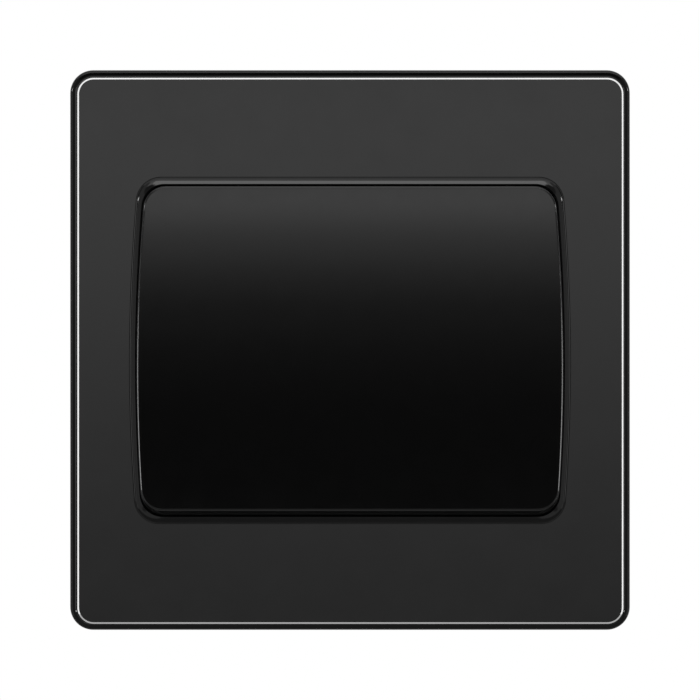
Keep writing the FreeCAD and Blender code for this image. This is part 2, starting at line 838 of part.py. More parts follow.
def housing_hollows():
    """The switching chamber, the terminals' pockets, the straps' channels and two cores."""
    y0 = web_rear - past
    y1 = housing_floor
    half = strap_half_width + block_play
    arm = arm_half_height + block_play
    core = pocket_foot - divider
    pocket_half_width = (pocket_outside - pocket_inside) / 2
    pocket_half_height = (pocket_top - pocket_foot) / 2
    hollows = [slab(0, 0, chamber_half_width, chamber_half_height, y0, y1)]
    for x, z in clamp_places:
        centre = math.copysign(pocket_foot + pocket_half_height, z)
        hollows.append(slab(x, centre, pocket_half_width, pocket_half_height, y0, y1))
    hollows.append(box(-terminal_x - half, -terminal_x + half, y0, y1, -half, pocket_foot + merge))
    hollows.append(box(-terminal_x, -chamber_half_width + merge, y0, y1, -half, half))
    for side in (1, -1):
        z = side * closed_beside
        hollows.append(box(chamber_half_width - merge, pocket_inside + past, y0, y1, z - arm, z + arm))
    hollows.append(box(-pocket_outside, -pocket_inside, y0, y1, -pocket_top, -half - divider))
    hollows.append(box(pocket_inside, pocket_outside, y0, y1, -core, core))
    return hollows


def wire_entry(x, side):
    """The round hole in the housing's end wall for a wire."""
    outside = side * (housing_half_height + past)
    return rod_z(x, bore_y, wire_entry_radius, side * (pocket_top - past), outside)


def mechanism_housing():
    """The moulded housing: walls, lugs, pockets, wire holes and screw holes."""
    width, height = 2 * housing_half_width, 2 * housing_half_height
    body = prism(straight_outline(width, height, housing_corner, web_rear), housing_rear)
    body = body.makeChamfer(housing_edge, edges_at_y(body, housing_rear))
    lug_rear = web_rear + lug_thickness
    parts = [body]
    cuts = housing_hollows()
    for x, z in lug_places:
        inner = math.copysign(housing_half_width - housing_wall / 2, x)
        parts.append(rod_y(x, z, lug_radius, web_rear, lug_rear))
        parts.append(box(inner, x, web_rear, lug_rear, z - lug_radius, z + lug_radius))
        cuts.append(rod_y(x, z, lug_screw_radius + lug_play, web_rear - past, lug_rear + past))
    for x, z in clamp_places:
        access = clamp_screw_radius + clamp_access
        cuts.append(rod_y(x, z, access, housing_floor - merge, housing_rear + past))
        cuts.append(wire_entry(x, math.copysign(1, z)))
    return fused(parts).cut(group(cuts))


def housing_screws():
    """Two cross-head screws through the housing's lugs into the frame's bosses."""
    seat = web_rear + lug_thickness
    top = seat + lug_screw_head
    screw = fused([
        rod_y(0, 0, lug_screw_radius, web_rear - lug_screw_bite, seat + merge),
        rod_y(0, 0, lug_screw_head_radius, seat, top),
    ])
    reach = lug_screw_head_radius * 2 / 3
    for half_x, half_z in ((reach, lug_screw_cross), (lug_screw_cross, reach)):
        screw = screw.cut(slab(0, 0, half_x, half_z, top - lug_screw_recess, top + past))
    return group([screw.translated(Vector(x, 0, z)) for x, z in lug_places])


def earth_terminal():
    """The earth block, with a strap up the frame's back to an eyelet round the left fixing screw."""
    rear = web_rear + earth_strap
    half = earth_strap_half_width
    foot = earth_contact_z - earth_window_half_height - past
    top = fixing_hole_radius + earth_eyelet_margin
    strap = fused([
        box(earth_x - half, earth_x + half, web_rear, rear, foot, 0),
        slab(earth_x, 0, top, top, web_rear, rear),
    ])
    strap = strap.cut(rod_y(earth_x, 0, fixing_hole_radius, web_rear - past, rear + past))
    return fused([strap, terminal_block(earth_x, rear + block_depth, earth_block_z)])


def earth_screw():
    """The screw of the earth block."""
    return clamp_screw(earth_x, web_rear + earth_strap + block_depth, earth_block_z)


def earth_spring():
    """A leaf on the earth strap that reaches through frame and carrier to the back of the plate."""
    bend = earth_leaf_bend
    foot = web_rear - seat_gap
    top = plate_rear + earth_contact_gap + earth_leaf
    lean_z = earth_contact_z - earth_window_half_height / 2
    turn_z = earth_contact_z + earth_window_half_height / 3
    corners = [
        (foot, lean_z - bend),
        (foot, turn_z),
        (foot - bend, turn_z + bend),
        (foot - 2 * bend, turn_z),
        (top + 2 * bend, lean_z),
        (top, lean_z + bend),
        (top, earth_contact_z),
        (top + bend, earth_contact_z + bend),
    ]
    return bent_strip(corners, earth_leaf, earth_x, earth_leaf_half_width)


def write(name, shape):
    """Write one piece, or one group of like pieces, to its own file."""
    shape.exportStep(f"parts/{name}.step")
    print(f"{name}: solids {len(shape.Solids)}, valid {shape.isValid()}, volume {shape.Volume:.1f}")


def main():
    """Make and write every piece of the switch."""
    os.makedirs("parts", exist_ok=True)
    pieces = (
        front_plate, plate_carrier, plate_clips, mounting_frame, fixing_screws, rocker_cap, dolly,
        plunger, plunger_spring, rocking_contact, moving_contact_tips, fixed_contact_tips,
        com_terminal, terminal_screws, mechanism_housing, housing_screws, earth_terminal,
        earth_screw, earth_spring,
    )
    for piece in pieces:
        write(piece.__name__, piece())
    write("l1_terminal", switched_terminal(1))
    write("l2_terminal", switched_terminal(-1))


main()
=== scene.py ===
"""The visual model of a one-gang rocker light switch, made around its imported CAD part.

Sizes inside the shape functions are in millimetres and turn to metres where a mesh is made.
The stage is in metres. +X is right, +Z is up, the front faces -Y, and the wall is the plane y = 0.
"""

import json
import math

import bmesh
import bpy
from bpy.props import FloatProperty, FloatVectorProperty, IntProperty, PointerProperty
from mathutils import Matrix, Vector


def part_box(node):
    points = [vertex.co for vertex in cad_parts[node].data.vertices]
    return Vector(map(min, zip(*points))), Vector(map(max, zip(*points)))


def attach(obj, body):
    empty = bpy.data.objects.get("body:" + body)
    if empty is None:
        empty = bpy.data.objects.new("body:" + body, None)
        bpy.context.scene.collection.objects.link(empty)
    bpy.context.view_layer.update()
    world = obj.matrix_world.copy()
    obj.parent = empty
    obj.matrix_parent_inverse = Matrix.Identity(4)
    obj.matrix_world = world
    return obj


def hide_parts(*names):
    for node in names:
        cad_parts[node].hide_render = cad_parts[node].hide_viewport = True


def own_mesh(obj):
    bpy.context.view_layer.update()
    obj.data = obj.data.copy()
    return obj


bl_info = {
    "name": "Rocker Light Switch",
    "version": (1, 0, 0),
    "blender": (4, 5, 0),
    "location": "View3D > Sidebar > Switch",
    "description": "Builds a rocker light switch with a clip-on metal plate around its CAD frame",
    "category": "Add Mesh",
}

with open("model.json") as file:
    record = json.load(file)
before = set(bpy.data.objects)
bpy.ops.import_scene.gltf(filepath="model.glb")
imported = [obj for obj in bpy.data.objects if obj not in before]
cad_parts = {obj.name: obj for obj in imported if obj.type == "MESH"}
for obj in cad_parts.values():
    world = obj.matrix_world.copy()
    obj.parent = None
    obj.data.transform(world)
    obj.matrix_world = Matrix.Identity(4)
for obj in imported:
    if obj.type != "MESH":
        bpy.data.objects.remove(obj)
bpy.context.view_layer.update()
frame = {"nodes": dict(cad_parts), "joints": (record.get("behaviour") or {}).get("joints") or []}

MM = 0.001

# The bow radius of a side that is straight
STRAIGHT = 1e6

# How finely outlines, rounds, screws and the coil are drawn
SIDE_STEPS = 20
CORNER_STEPS = 14
ROUND_STEPS = 6
SCREW_SIDES = 48
THREAD_STEPS = 24
COIL_STEPS = 40
WIRE_SIDES = 16

# The share by which widths shrink for each millimetre up, as the photograph shows
OPENING_TAPER = 0.000155
ROCKER_TAPER = 0.00027


def front_of(node):
    """The depth of a CAD node's foremost side in millimetres, to a hundredth."""
    return round(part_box(node)[0][1] / MM, 2)


def rear_of(node):
    """The depth of a CAD node's rearmost side in millimetres, to a hundredth."""
    return round(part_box(node)[1][1] / MM, 2)


def linear(code):
    """The linear colour of an sRGB hex value."""
    levels = [int(code[place : place + 2], 16) / 255 for place in (1, 3, 5)]
    return [v / 12.92 if v <= 0.04045 else ((v + 0.055) / 1.055) ** 2.4 for v in levels]


def length(name, description, default):
    """A length of the switch, shown in the user's own units."""
    return FloatProperty(name=name, description=description, default=default * MM, unit="LENGTH", precision=5)


def colour(name, description, code):
    """A colour of the switch."""
    return FloatVectorProperty(
        name=name, description=description, default=linear(code), subtype="COLOR", min=0, max=1,
    )


class SwitchSizes(bpy.types.PropertyGroup):
    """Sizes of the cover, the rocker and the small parts."""

    rim_side: length("Rim side", "Side of the carrier, which is the whole switch", 95.0)
    rim_corner: length("Rim corner", "Corner radius of the carrier seen from the front", 3.9)
    rim_lip: length("Rim lip", "Width of the carrier's lip round the plate", 1.0)
    rim_round: length("Rim round", "Radius along the carrier's outer front edge", 0.55)
    rim_fall: length("Rim fall", "How far the lip falls back towards that edge", 0.04)
    plate_side: length("Plate side", "Side of the metal plate", 92.65)
    plate_corner: length("Plate corner", "Corner radius of the metal plate", 2.75)
    plate_bevel: length("Plate bevel", "Width of the plate's cut edge", 0.25)
    opening_width: length("Opening width", "Width of the plate's opening", 74.8)
    opening_height: length("Opening height", "Height of the plate's opening", 58.75)
    opening_corner: length("Opening corner", "Corner radius of the plate's opening", 4.2)
    side_bow: length("Side bow", "Radius of the opening's bowed sides", 327.0)
    bezel_drop: length("Bezel drop", "How far the bezel's domed front falls back to its outer edge", 0.325)
    rocker_width: length("Rocker width", "Width of the rocker", 72.4)
    rocker_corner: length("Rocker corner", "Corner radius of the rocker", 3.9)
    rocker_round: length("Rocker round", "Radius along the edges of the rocker's face", 0.36)
    rib_width: length("Rib width", "Thickness of the ribs behind the carrier and the rocker", 1.2)
    rib_round: length("Rib round", "Radius along the ribs' edges", 0.15)
    fixing_pitch: length("Fixing thread pitch", "Pitch of the box screws' thread", 0.6)
    clamp_pitch: length("Clamp thread pitch", "Pitch of the terminal screws' thread", 0.6)
    lug_pitch: length("Lug thread pitch", "Pitch of the housing screws' thread", 0.9)
    coil_wire: length("Coil wire", "Diameter of the plunger spring's wire", 0.44)
    coil_turns: IntProperty(name="Coil turns", description="Turns of the plunger spring", default=4, min=1)


class SwitchColours(bpy.types.PropertyGroup):
    """Colours of the finishes."""

    plate: colour("Plate", "Dark nickel on the plate's face", "#414141")
    cut_edge: colour("Cut edge", "Bright metal of the plate's bevel", "#bdbdbd")
    carrier: colour("Carrier", "Gloss black of the rim and the bezel", "#040404")
    rocker: colour("Rocker", "Gloss black of the rocker", "#040404")
    dolly: colour("Dolly", "Satin black of the lever", "#161617")
    base: colour("Frame", "Satin grey of the mounting frame", "#3a3b3e")
    housing: colour("Housing", "White of the mechanism's housing", "#e2e1dc")
    nylon: colour("Nylon", "Natural nylon of the plunger", "#dcd5c2")
    spring_steel: colour("Spring steel", "Rolled steel of the springs", "#b2b3b6")
    zinc: colour("Zinc", "Zinc plate of the screws", "#c9cbca")
    copper: colour("Copper alloy", "Rolled copper alloy of the blade and the leaf", "#d39b72")
    brass: colour("Brass", "Machined brass of the terminals", "#e0bd74")
    silver: colour("Silver", "Silver alloy of the contact tips", "#e4e3de")
    floor: colour("Floor", "Pale floor", "#e6e6e6")


class SwitchStage(bpy.types.PropertyGroup):
    """The studio round the switch."""

    view_width: length("View width", "What the camera takes in at the plate's face", 118.8)
    camera_distance: length("Camera distance", "From the camera to the plate's face", 2500.0)
    floor_height: length("Floor height", "Height of the floor, below the switch", -75.0)


# Materials


def add(tree, kind, sockets=None, **options):
    """Adds a node: options by name, then sockets by name or number.

    A socket is given a value, an output, or a node, which stands for its first output.
    """
    made = tree.nodes.new(kind)
    for name, value in options.items():
        setattr(made, name, value)
    for socket, value in (sockets or {}).items():
        if isinstance(value, bpy.types.Node):
            value = value.outputs[0]
        if isinstance(value, bpy.types.NodeSocket):
            tree.links.new(value, made.inputs[socket])
        else:
            made.inputs[socket].default_value = value
    return made


def blank_material(name):
    """A material with an empty tree, and that tree."""
    material = bpy.data.materials.new(name)
    material.use_nodes = True
    material.node_tree.nodes.clear()
    return material, material.node_tree


def finish(name, tint, darker, grain, roughness, bump, metallic=0.0, ior=1.5, stretch=(1, 1, 1)):
    """A procedural finish named for the real one.

    grain is the pattern's drawn size in millimetres, and stretch makes it longer along a rolling or
    machining direction. darker is the share by which the tint falls between the grains, roughness
    is its lowest and highest value, and bump is the grain's height in millimetres.
    """
    material, tree = blank_material(name)
    place = add(tree, "ShaderNodeTexCoord").outputs["Object"]
    scale = [1 / (grain * MM * part) for part in stretch]
    point = add(tree, "ShaderNodeMapping", {"Vector": place, "Scale": scale})
    pattern = {"Vector": point, "Scale": 1.0, "Detail": 3.0, "Roughness": 0.55}
    height = add(tree, "ShaderNodeTexNoise", pattern)
    hollow, crest = 0.3, 0.7
    dim = [value * (1 - darker) for value in tint]
    tone = add(tree, "ShaderNodeValToRGB", {"Fac": height})
    tone.color_ramp.elements[0].position = hollow
    tone.color_ramp.elements[0].color = (*dim, 1)
    tone.color_ramp.elements[1].position = crest
    tone.color_ramp.elements[1].color = (*tint, 1)
    rough = add(tree, "ShaderNodeMapRange", {
        "Value": height, "From Min": hollow, "From Max": crest,
        "To Min": roughness[0], "To Max": roughness[1],
    })
    relief = add(tree, "ShaderNodeBump", {"Height": height, "Distance": bump * MM, "Strength": 1.0})
    shader = add(tree, "ShaderNodeBsdfPrincipled", {
        "Base Color": tone, "Roughness": rough, "Normal": relief, "Metallic": metallic, "IOR": ior,
    })
    add(tree, "ShaderNodeOutputMaterial", {"Surface": shader})
    return material


def dress(material, *nodes):
    """Gives carried-over CAD nodes their finish."""
    for node in nodes:
        slots = frame["nodes"][node].data.materials
        slots.clear()
        slots.append(material)


# Shapes


def outline(width, height, corner, bow=STRAIGHT):
    """Points (x, z) round an outline with straight ends, bowed sides and round corners."""
    bow_centre = width / 2 - bow
    corner_z = height / 2 - corner
    corner_x = bow_centre + math.sqrt((bow - corner) ** 2 - corner_z**2)
    lean = math.atan2(corner_z, corner_x - bow_centre)
    quarter = []
    for step in range(SIDE_STEPS):
        angle = lean * step / SIDE_STEPS
        quarter.append((bow_centre + bow * math.cos(angle), bow * math.sin(angle)))
    for step in range(CORNER_STEPS + 1):
        angle = lean + (math.pi / 2 - lean) * step / CORNER_STEPS
        quarter.append((corner_x + corner * math.cos(angle), corner_z + corner * math.sin(angle)))
    for step in range(1, SIDE_STEPS + 1):
        quarter.append((corner_x * (1 - step / SIDE_STEPS), height / 2))
    points = quarter + [(-x, z) for x, z in reversed(quarter[:-1])]
    points += [(-x, -z) for x, z in quarter[1:]]
    return points + [(x, -z) for x, z in reversed(quarter[1:-1])]


def ring(width, height, corner, y, bow=STRAIGHT):
    """An outline laid at depth y. One with bowed sides is a little narrower towards its top."""
    taper = OPENING_TAPER if bow < STRAIGHT else 0
    return [Vector((x * (1 - taper * z), y, z)) for x, z in outline(width, height, corner, bow)]


def inset_rings(width, height, corner, steps, bow=STRAIGHT):
    """Rings that follow an outline, one for each step (inset, y). A negative inset lies outside it."""
    return [ring(width - 2 * inset, height - 2 * inset, corner - inset, y, bow) for inset, y in steps]


def shift(rings, offset):
    """Moves rings of points by an offset."""
    for points in rings:
        for point in points:
            point += offset


def quarter_round(radius):
    """Steps (inset, depth) over a quarter round, from the flat front to the side wall."""
    for step in range(ROUND_STEPS + 1):
        angle = math.pi / 2 * step / ROUND_STEPS
        yield radius * (1 - math.sin(angle)), radius * (1 - math.cos(angle))


def bridge(work, rings, closed):
    """Quads between following rings of equal counts."""
    rows = [[work.verts.new(point) for point in points] for points in rings]
    pairs = list(zip(rows, rows[1:]))
    if closed:
        pairs.append((rows[-1], rows[0]))
    for one, two in pairs:
        for here in range(len(one)):
            there = (here + 1) % len(one)
            work.faces.new((one[here], one[there], two[there], two[here]))
    return rows


def fan(work, row, centre):
    """Closes a row of vertices onto one point."""
    pole = work.verts.new(centre)
    for here in range(len(row)):
        work.faces.new((row[here], row[(here + 1) % len(row)], pole))


def span(side, near, far):
    """The low and high ends of a span on one side of the middle. Side is 1 or -1."""
    return sorted((side * near, side * far))


def block(work, low, high, chamfer=0.12):
    """A block with fine chamfers between two corners."""
    low, high = Vector(low), Vector(high)
    made = bmesh.ops.create_cube(work, size=1.0)["verts"]
    for vert in made:
        vert.co = Vector([(low[k] + high[k]) / 2 + vert.co[k] * (high[k] - low[k]) for k in range(3)])
    if chamfer:
        edges = list(dict.fromkeys(edge for vert in made for edge in vert.link_edges))
        bmesh.ops.bevel(work, geom=edges, offset=chamfer, segments=1, affect="EDGES", clamp_overlap=True)


def add_object(name, data):
    """Adds an object to the scene."""
    made = bpy.data.objects.new(name, data)
    bpy.context.scene.collection.objects.link(made)
    return made


def evaluated(made):
    """The plain mesh that an object's modifier makes of it."""
    graph = bpy.context.evaluated_depsgraph_get()
    return bpy.data.meshes.new_from_object(made.evaluated_get(graph), depsgraph=graph)


def take_in(work, mesh):
    """Moves a mesh into the work."""
    work.from_mesh(mesh)
    bpy.data.meshes.remove(mesh)
    return work


def piece(node, work, body, materials, sharp=40):
    """Turns the work in millimetres into a finished piece in metres that stands for a CAD node."""
    bmesh.ops.recalc_face_normals(work, faces=work.faces)
    mesh = bpy.data.meshes.new(f"{node}_visual")
    work.to_mesh(mesh)
    work.free()
    mesh.transform(Matrix.Scale(MM, 4))
    for material in materials:
        mesh.materials.append(material)
    mesh.shade_smooth()
    mesh.set_sharp_from_angle(angle=math.radians(sharp))
    made = add_object(f"{node}_visual", mesh)
    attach(made, body)
    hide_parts(node)
    return made


# Shape trees


SOCKETS = {float: "NodeSocketFloat", int: "NodeSocketInt", bool: "NodeSocketBool", tuple: "NodeSocketVector"}


def shape_tree(name, sizes):
    """A Geometry Nodes tree with a named input for each size, in millimetres, and for the material."""
    tree = bpy.data.node_groups.new(name, "GeometryNodeTree")
    tree.interface.new_socket("Geometry", in_out="INPUT", socket_type="NodeSocketGeometry")
    for label, value in sizes.items():
        socket = tree.interface.new_socket(label, in_out="INPUT", socket_type=SOCKETS[type(value)])
        socket.default_value = value
    tree.interface.new_socket("Material", in_out="INPUT", socket_type="NodeSocketMaterial")
    tree.interface.new_socket("Geometry", in_out="OUTPUT", socket_type="NodeSocketGeometry")
    return tree, add(tree, "NodeGroupInput").outputs


def end_tree(tree, given, shape):
    """Ends a shape tree: the shape on each point where it has a turn, made real, then the material."""
    if "Turn" in given:
        on_points = {"Points": given["Geometry"], "Instance": shape, "Rotation": given["Turn"]}
        shape = add(tree, "GeometryNodeInstanceOnPoints", on_points)
    real = add(tree, "GeometryNodeRealizeInstances", {0: shape})
    coated = add(tree, "GeometryNodeSetMaterial", {"Geometry": real, "Material": given["Material"]})
    add(tree, "NodeGroupOutput", {0: coated})


def grow(tree, base, material, values):
    """Runs a shape tree on a base mesh and gives the plain mesh that it makes."""
    made = add_object(tree.name, base)
    modifier = made.modifiers.new(tree.name, "NODES")
    modifier.node_group = tree
    for entry in tree.interface.items_tree:
        if entry.in_out == "INPUT" and entry.name in values:
            modifier[entry.identifier] = values[entry.name]
        elif entry.name == "Material":
            modifier[entry.identifier] = material
    result = evaluated(made)
    made.modifiers.remove(modifier)
    bpy.data.objects.remove(made)
    return result


def from_points(points, edges=()):
    """A base mesh of loose points and lines."""
    base = bpy.data.meshes.new("base")
    base.from_pydata(points, edges, [])
    return base


def screw_tree():
    """A machine screw on each point: round-edged head, slot or cross, plain neck and thread.

    The head's outer face lies at the point, and the shank runs along local +Z before the turn.
    The sizes given here are the box screw's, and the other screws state what differs.
    """
    sizes = {
        "Head Radius": 3.3, "Head Height": 1.6, "Core Radius": 1.5, "Shank Length": 22.6, "Neck Length": 3.8,
        "Thread Depth": 0.25, "Thread Pitch": 0.6, "Point Length": 0.4, "Slot Width": 0.9, "Slot Length": 7.0,
        "Slot Depth": 0.9, "Cross": False, "Turn": (0.0, 0.0, 0.0),
    }
    tree, given = shape_tree("screw", sizes)
    ball = add(tree, "GeometryNodeMeshUVSphere", {
        "Segments": SCREW_SIDES, "Rings": SCREW_SIDES // 2, "Radius": 1.0,
    })
    place = add(tree, "GeometryNodeInputPosition")
    axes = add(tree, "ShaderNodeSeparateXYZ", {0: place}).outputs
    flat = add(tree, "ShaderNodeCombineXYZ", {"X": axes["X"], "Y": axes["Y"]})
    out = add(tree, "ShaderNodeVectorMath", {0: flat}, operation="LENGTH").outputs["Value"]

    # Each row works out one more size of the screw from those above it. The power squares the ball:
    # 1 leaves it round, and 0 would make a cylinder of it
    squareness = 0.22
    size = {label: given[label] for label in sizes} | {"Out": out, "Level": axes["Z"]}
    for label, operation, one, two in (
        ("Reach", "MAXIMUM", "Out", 0.0001),
        ("Press", "POWER", "Reach", squareness - 1),
        ("Widen", "MULTIPLY", "Press", "Head Radius"),
        ("Off Middle", "ABSOLUTE", "Level", 0.0),
        ("Flatten", "POWER", "Off Middle", squareness),
        ("Side", "SIGN", "Level", 0.0),
        ("Half Head", "MULTIPLY", "Head Height", 0.5),
        ("Signed", "MULTIPLY", "Flatten", "Side"),
        ("Rise", "MULTIPLY", "Signed", "Half Head"),
        ("Height", "ADD", "Rise", "Half Head"),
        ("Cutter Depth", "MULTIPLY", "Slot Depth", 2.0),
        ("Straight", "SUBTRACT", "Shank Length", "Point Length"),
        ("Core Length", "ADD", "Straight", 0.1),
        ("Core Start", "SUBTRACT", "Head Height", 0.1),
        ("Half Core", "MULTIPLY", "Core Length", 0.5),
        ("Core Middle", "ADD", "Core Start", "Half Core"),
        ("Point Radius", "MULTIPLY", "Core Radius", 0.7),
        ("Point Start", "ADD", "Head Height", "Straight"),
        ("Threaded", "SUBTRACT", "Straight", "Neck Length"),
        ("Wound", "SUBTRACT", "Threaded", "Thread Pitch"),
        ("Turns", "DIVIDE", "Wound", "Thread Pitch"),
        ("Flank", "MULTIPLY", "Thread Pitch", 0.48),
        ("Neck End", "ADD", "Head Height", "Neck Length"),
        ("Half Pitch", "MULTIPLY", "Thread Pitch", 0.5),
        ("Thread Start", "ADD", "Neck End", "Half Pitch"),
    ):
        values = {0: size.get(one, one), 1: size.get(two, two)}
        size[label] = add(tree, "ShaderNodeMath", values, operation=operation)

    # The head is a ball pressed towards a cylinder, which leaves its edges round
    wide = add(tree, "ShaderNodeVectorMath", {0: flat, "Scale": size["Widen"]}, operation="SCALE")
    level = add(tree, "ShaderNodeCombineXYZ", {"Z": size["Height"]})
    target = add(tree, "ShaderNodeVectorMath", {0: wide, 1: level}, operation="ADD")
    head = add(tree, "GeometryNodeSetPosition", {"Geometry": ball, "Position": target})

    # One slot across the head, or two that make a cross
    cutters = []
    for x, y in (("Slot Length", "Slot Width"), ("Slot Width", "Slot Length")):
        reach = add(tree, "ShaderNodeCombineXYZ", {"X": size[x], "Y": size[y], "Z": size["Cutter Depth"]})
        cutters.append(add(tree, "GeometryNodeMeshCube", {"Size": reach}))
    choice = {"Switch": given["Cross"], "True": cutters[1]}
    cutters[1] = add(tree, "GeometryNodeSwitch", choice, input_type="GEOMETRY")
    for cutter in cutters:
        pair = {"Mesh 1": head, "Mesh 2": cutter}
        head = add(tree, "GeometryNodeMeshBoolean", pair, operation="DIFFERENCE", solver="EXACT")

    # The core, its blunt point, and the ridge of the thread wound round it
    core = add(tree, "GeometryNodeMeshCylinder", {
        "Vertices": SCREW_SIDES, "Radius": size["Core Radius"], "Depth": size["Core Length"],
    })
    blunt = add(tree, "GeometryNodeMeshCone", {
        "Vertices": SCREW_SIDES, "Radius Top": size["Point Radius"], "Radius Bottom": size["Core Radius"],
        "Depth": size["Point Length"],
    })
    helix = add(tree, "GeometryNodeCurveSpiral", {
        "Resolution": THREAD_STEPS, "Rotations": size["Turns"], "Start Radius": size["Core Radius"],
        "End Radius": size["Core Radius"], "Height": size["Wound"],
    })
    upright = add(tree, "GeometryNodeSetCurveNormal", {"Curve": helix}, mode="Z_UP")
    square = add(tree, "GeometryNodeCurvePrimitiveCircle", {"Resolution": 4, "Radius": 1.0})
    ridge = add(tree, "ShaderNodeCombineXYZ", {"X": size["Thread Depth"], "Y": size["Flank"], "Z": 1.0})
    profile = add(tree, "GeometryNodeTransform", {"Geometry": square, "Scale": ridge})
    sweep = {"Curve": upright, "Profile Curve": profile, "Fill Caps": True}
    thread = add(tree, "GeometryNodeCurveToMesh", sweep)

    joined = add(tree, "GeometryNodeJoinGeometry", {0: head})
    for part, label in ((core, "Core Middle"), (blunt, "Point Start"), (thread, "Thread Start")):
        along = add(tree, "ShaderNodeCombineXYZ", {"Z": size[label]})
        moved = add(tree, "GeometryNodeTransform", {"Geometry": part, "Translation": along})
        tree.links.new(moved.outputs[0], joined.inputs[0])
    end_tree(tree, given, joined)
    return tree


def coil_tree():
    """A compression coil that starts at each point and runs along local +Z before the turn."""
    sizes = {"Coil Radius": 1.14, "Wire Radius": 0.22, "Turns": 4.0, "Length": 3.0, "Turn": (0.0, 0.0, 0.0)}
    tree, given = shape_tree("coil", sizes)
    helix = add(tree, "GeometryNodeCurveSpiral", {
        "Resolution": COIL_STEPS, "Rotations": given["Turns"], "Start Radius": given["Coil Radius"],
        "End Radius": given["Coil Radius"], "Height": given["Length"],
    })
    circle = {"Resolution": WIRE_SIDES, "Radius": given["Wire Radius"]}
    wire = add(tree, "GeometryNodeCurvePrimitiveCircle", circle)
    coil = add(tree, "GeometryNodeCurveToMesh", {"Curve": helix, "Profile Curve": wire, "Fill Caps": True})
    end_tree(tree, given, coil)
    return tree


def rib_tree():
    """A rib with round edges along each line of the base mesh, whose lines lie flat in X and Y.

    The ribs are turned so that the base's Y becomes +Z and their height lies along Y.
    """
    tree, given = shape_tree("rib", {"Rib Width": 1.2, "Rib Height": 2.5, "Rib Round": 0.15})
    path = add(tree, "GeometryNodeMeshToCurve", {"Mesh": given["Geometry"]})
    upright = add(tree, "GeometryNodeSetCurveNormal", {"Curve": path}, mode="Z_UP")
    spans = {"Width": given["Rib Width"], "Height": given["Rib Height"]}
    oblong = add(tree, "GeometryNodeCurvePrimitiveQuadrilateral", spans)
    corners = {"Curve": oblong, "Radius": given["Rib Round"], "Count": 3}
    section = add(tree, "GeometryNodeFilletCurve", corners, mode="POLY")
    sweep = {"Curve": upright, "Profile Curve": section, "Fill Caps": True}
    rib = add(tree, "GeometryNodeCurveToMesh", sweep)
    upturn = {"Geometry": rib, "Rotation": (math.pi / 2, 0, 0)}
    end_tree(tree, given, add(tree, "GeometryNodeTransform", upturn))
    return tree


def settings():
    """The switch's sizes in millimetres, by name."""
    sizes = bpy.context.scene.switch_sizes
    return {name: getattr(sizes, name) / MM for name in SwitchSizes.__annotations__ if name != "coil_turns"}


def add_ribs(work, lines, front, rear, size, material):
    """Adds ribs with round edges to the work: one along each line (x0, z0, x1, z1), between two depths."""
    ends = [(line[end], line[end + 1], 0) for line in lines for end in (0, 2)]
    base = from_points(ends, [(2 * number, 2 * number + 1) for number in range(len(lines))])
    values = {"Rib Width": size["rib_width"], "Rib Height": rear - front, "Rib Round": size["rib_round"]}
    made = grow(rib_tree(), base, material, values)
    made.transform(Matrix.Translation((0, (front + rear) / 2, 0)))
    take_in(work, made)


def add_grown(node, tree, points, values, material, body):
    """Makes a finished piece of what a shape tree grows on points, standing for a CAD node."""
    work = take_in(bmesh.new(), grow(tree, from_points(points), material, values))
    return piece(node, work, body, [material], 30)


# Depths of the cover in millimetres
PLATE_FRONT = front_of("front_plate")
PLATE_REAR = -7.0
TONGUE_REAR = rear_of("front_plate")
CARRIER_FRONT = -8.2
CARRIER_WEB_REAR = -5.5
CARRIER_REAR = rear_of("plate_carrier")
BEZEL_FRONT = front_of("plate_carrier")

# How far the plate and the opening lie off the middle, within their play
PLATE_PLAY = Vector((0.07, 0.0, -0.14))
OPENING_PLAY = Vector((0.0, 0.0, -0.07))

# Guard rings lie this far from an edge, so that smooth shading leaves the flat beside it flat
GUARD = 0.03
BEVEL_GUARD = 0.02

# The plate's opening: how far its broken edge and the guard round it lie out from the opening
MOUTH_BREAK, MOUTH_GUARD = 0.08, 0.15

# The carrier's rim, from its outer edge to the recess for the plate
RIM_TURNS = [math.radians(angle) for angle in range(90, 14, -15)]
LIP_CHAMFER, LIP_DROP = 0.14, 0.065
GUARD_FALL = 0.06
SKIRT = 1.6

# The bezel: its gap to the plate, its widths, the fine round of its mouth, and how much its corners
# tighten up to the crest and at the mouth
BEZEL_GAP = 0.1
BEZEL_SIDE, BEZEL_END = 0.88, 1.08
MOUTH_ROUND, MOUTH_DRAFT = 0.06, 0.3
CREST_TURN, MOUTH_TURN = 0.2, 0.3

# The slope of its domed front in degrees at the crest, and how much steeper its outer edge is
CREST_SLOPE, EDGE_SLOPE = 10.3, 33.2
DOME_STEPS = 12

# Ribs behind the carrier: where they start and end, and the places of the upright and level ones
RIB_START_X, RIB_START_Z, RIB_REACH, RIB_REAR = 37.5, 29.4, 42.15, -4.2
UPRIGHT_RIBS, LEVEL_RIBS = (-20.0, 0.0, 20.0), (-16.0, 16.0)
RIB_OVERLAP = 0.3

# The plate's tongues, bent outwards behind the carrier, and their play in its slots
TONGUE_X, TONGUE_HALF, TONGUE_PLAY = 13.0, 2.5, 0.05
TONGUE_Z, BEND_Z = (35.3875, 36.1875), (36.1, 38.5875)

# The carrier's grooves for the clips, its window for the earth leaf, given by (x, z) corners, and
# the notch in its foot
CLIP_X, GROOVE_HALF = 25.0, 3.4
GROOVE_Y, GROOVE_Z = (-3.4, -1.4), (45.7, 46.4)
EARTH_WINDOW = (-33.65, -37.99), (-26.65, -33.59)
FOOT_NOTCH = (-4.0, -1.5, -47.7), (4.0, 0.0, -45.7)
CUT_OVER = 0.1


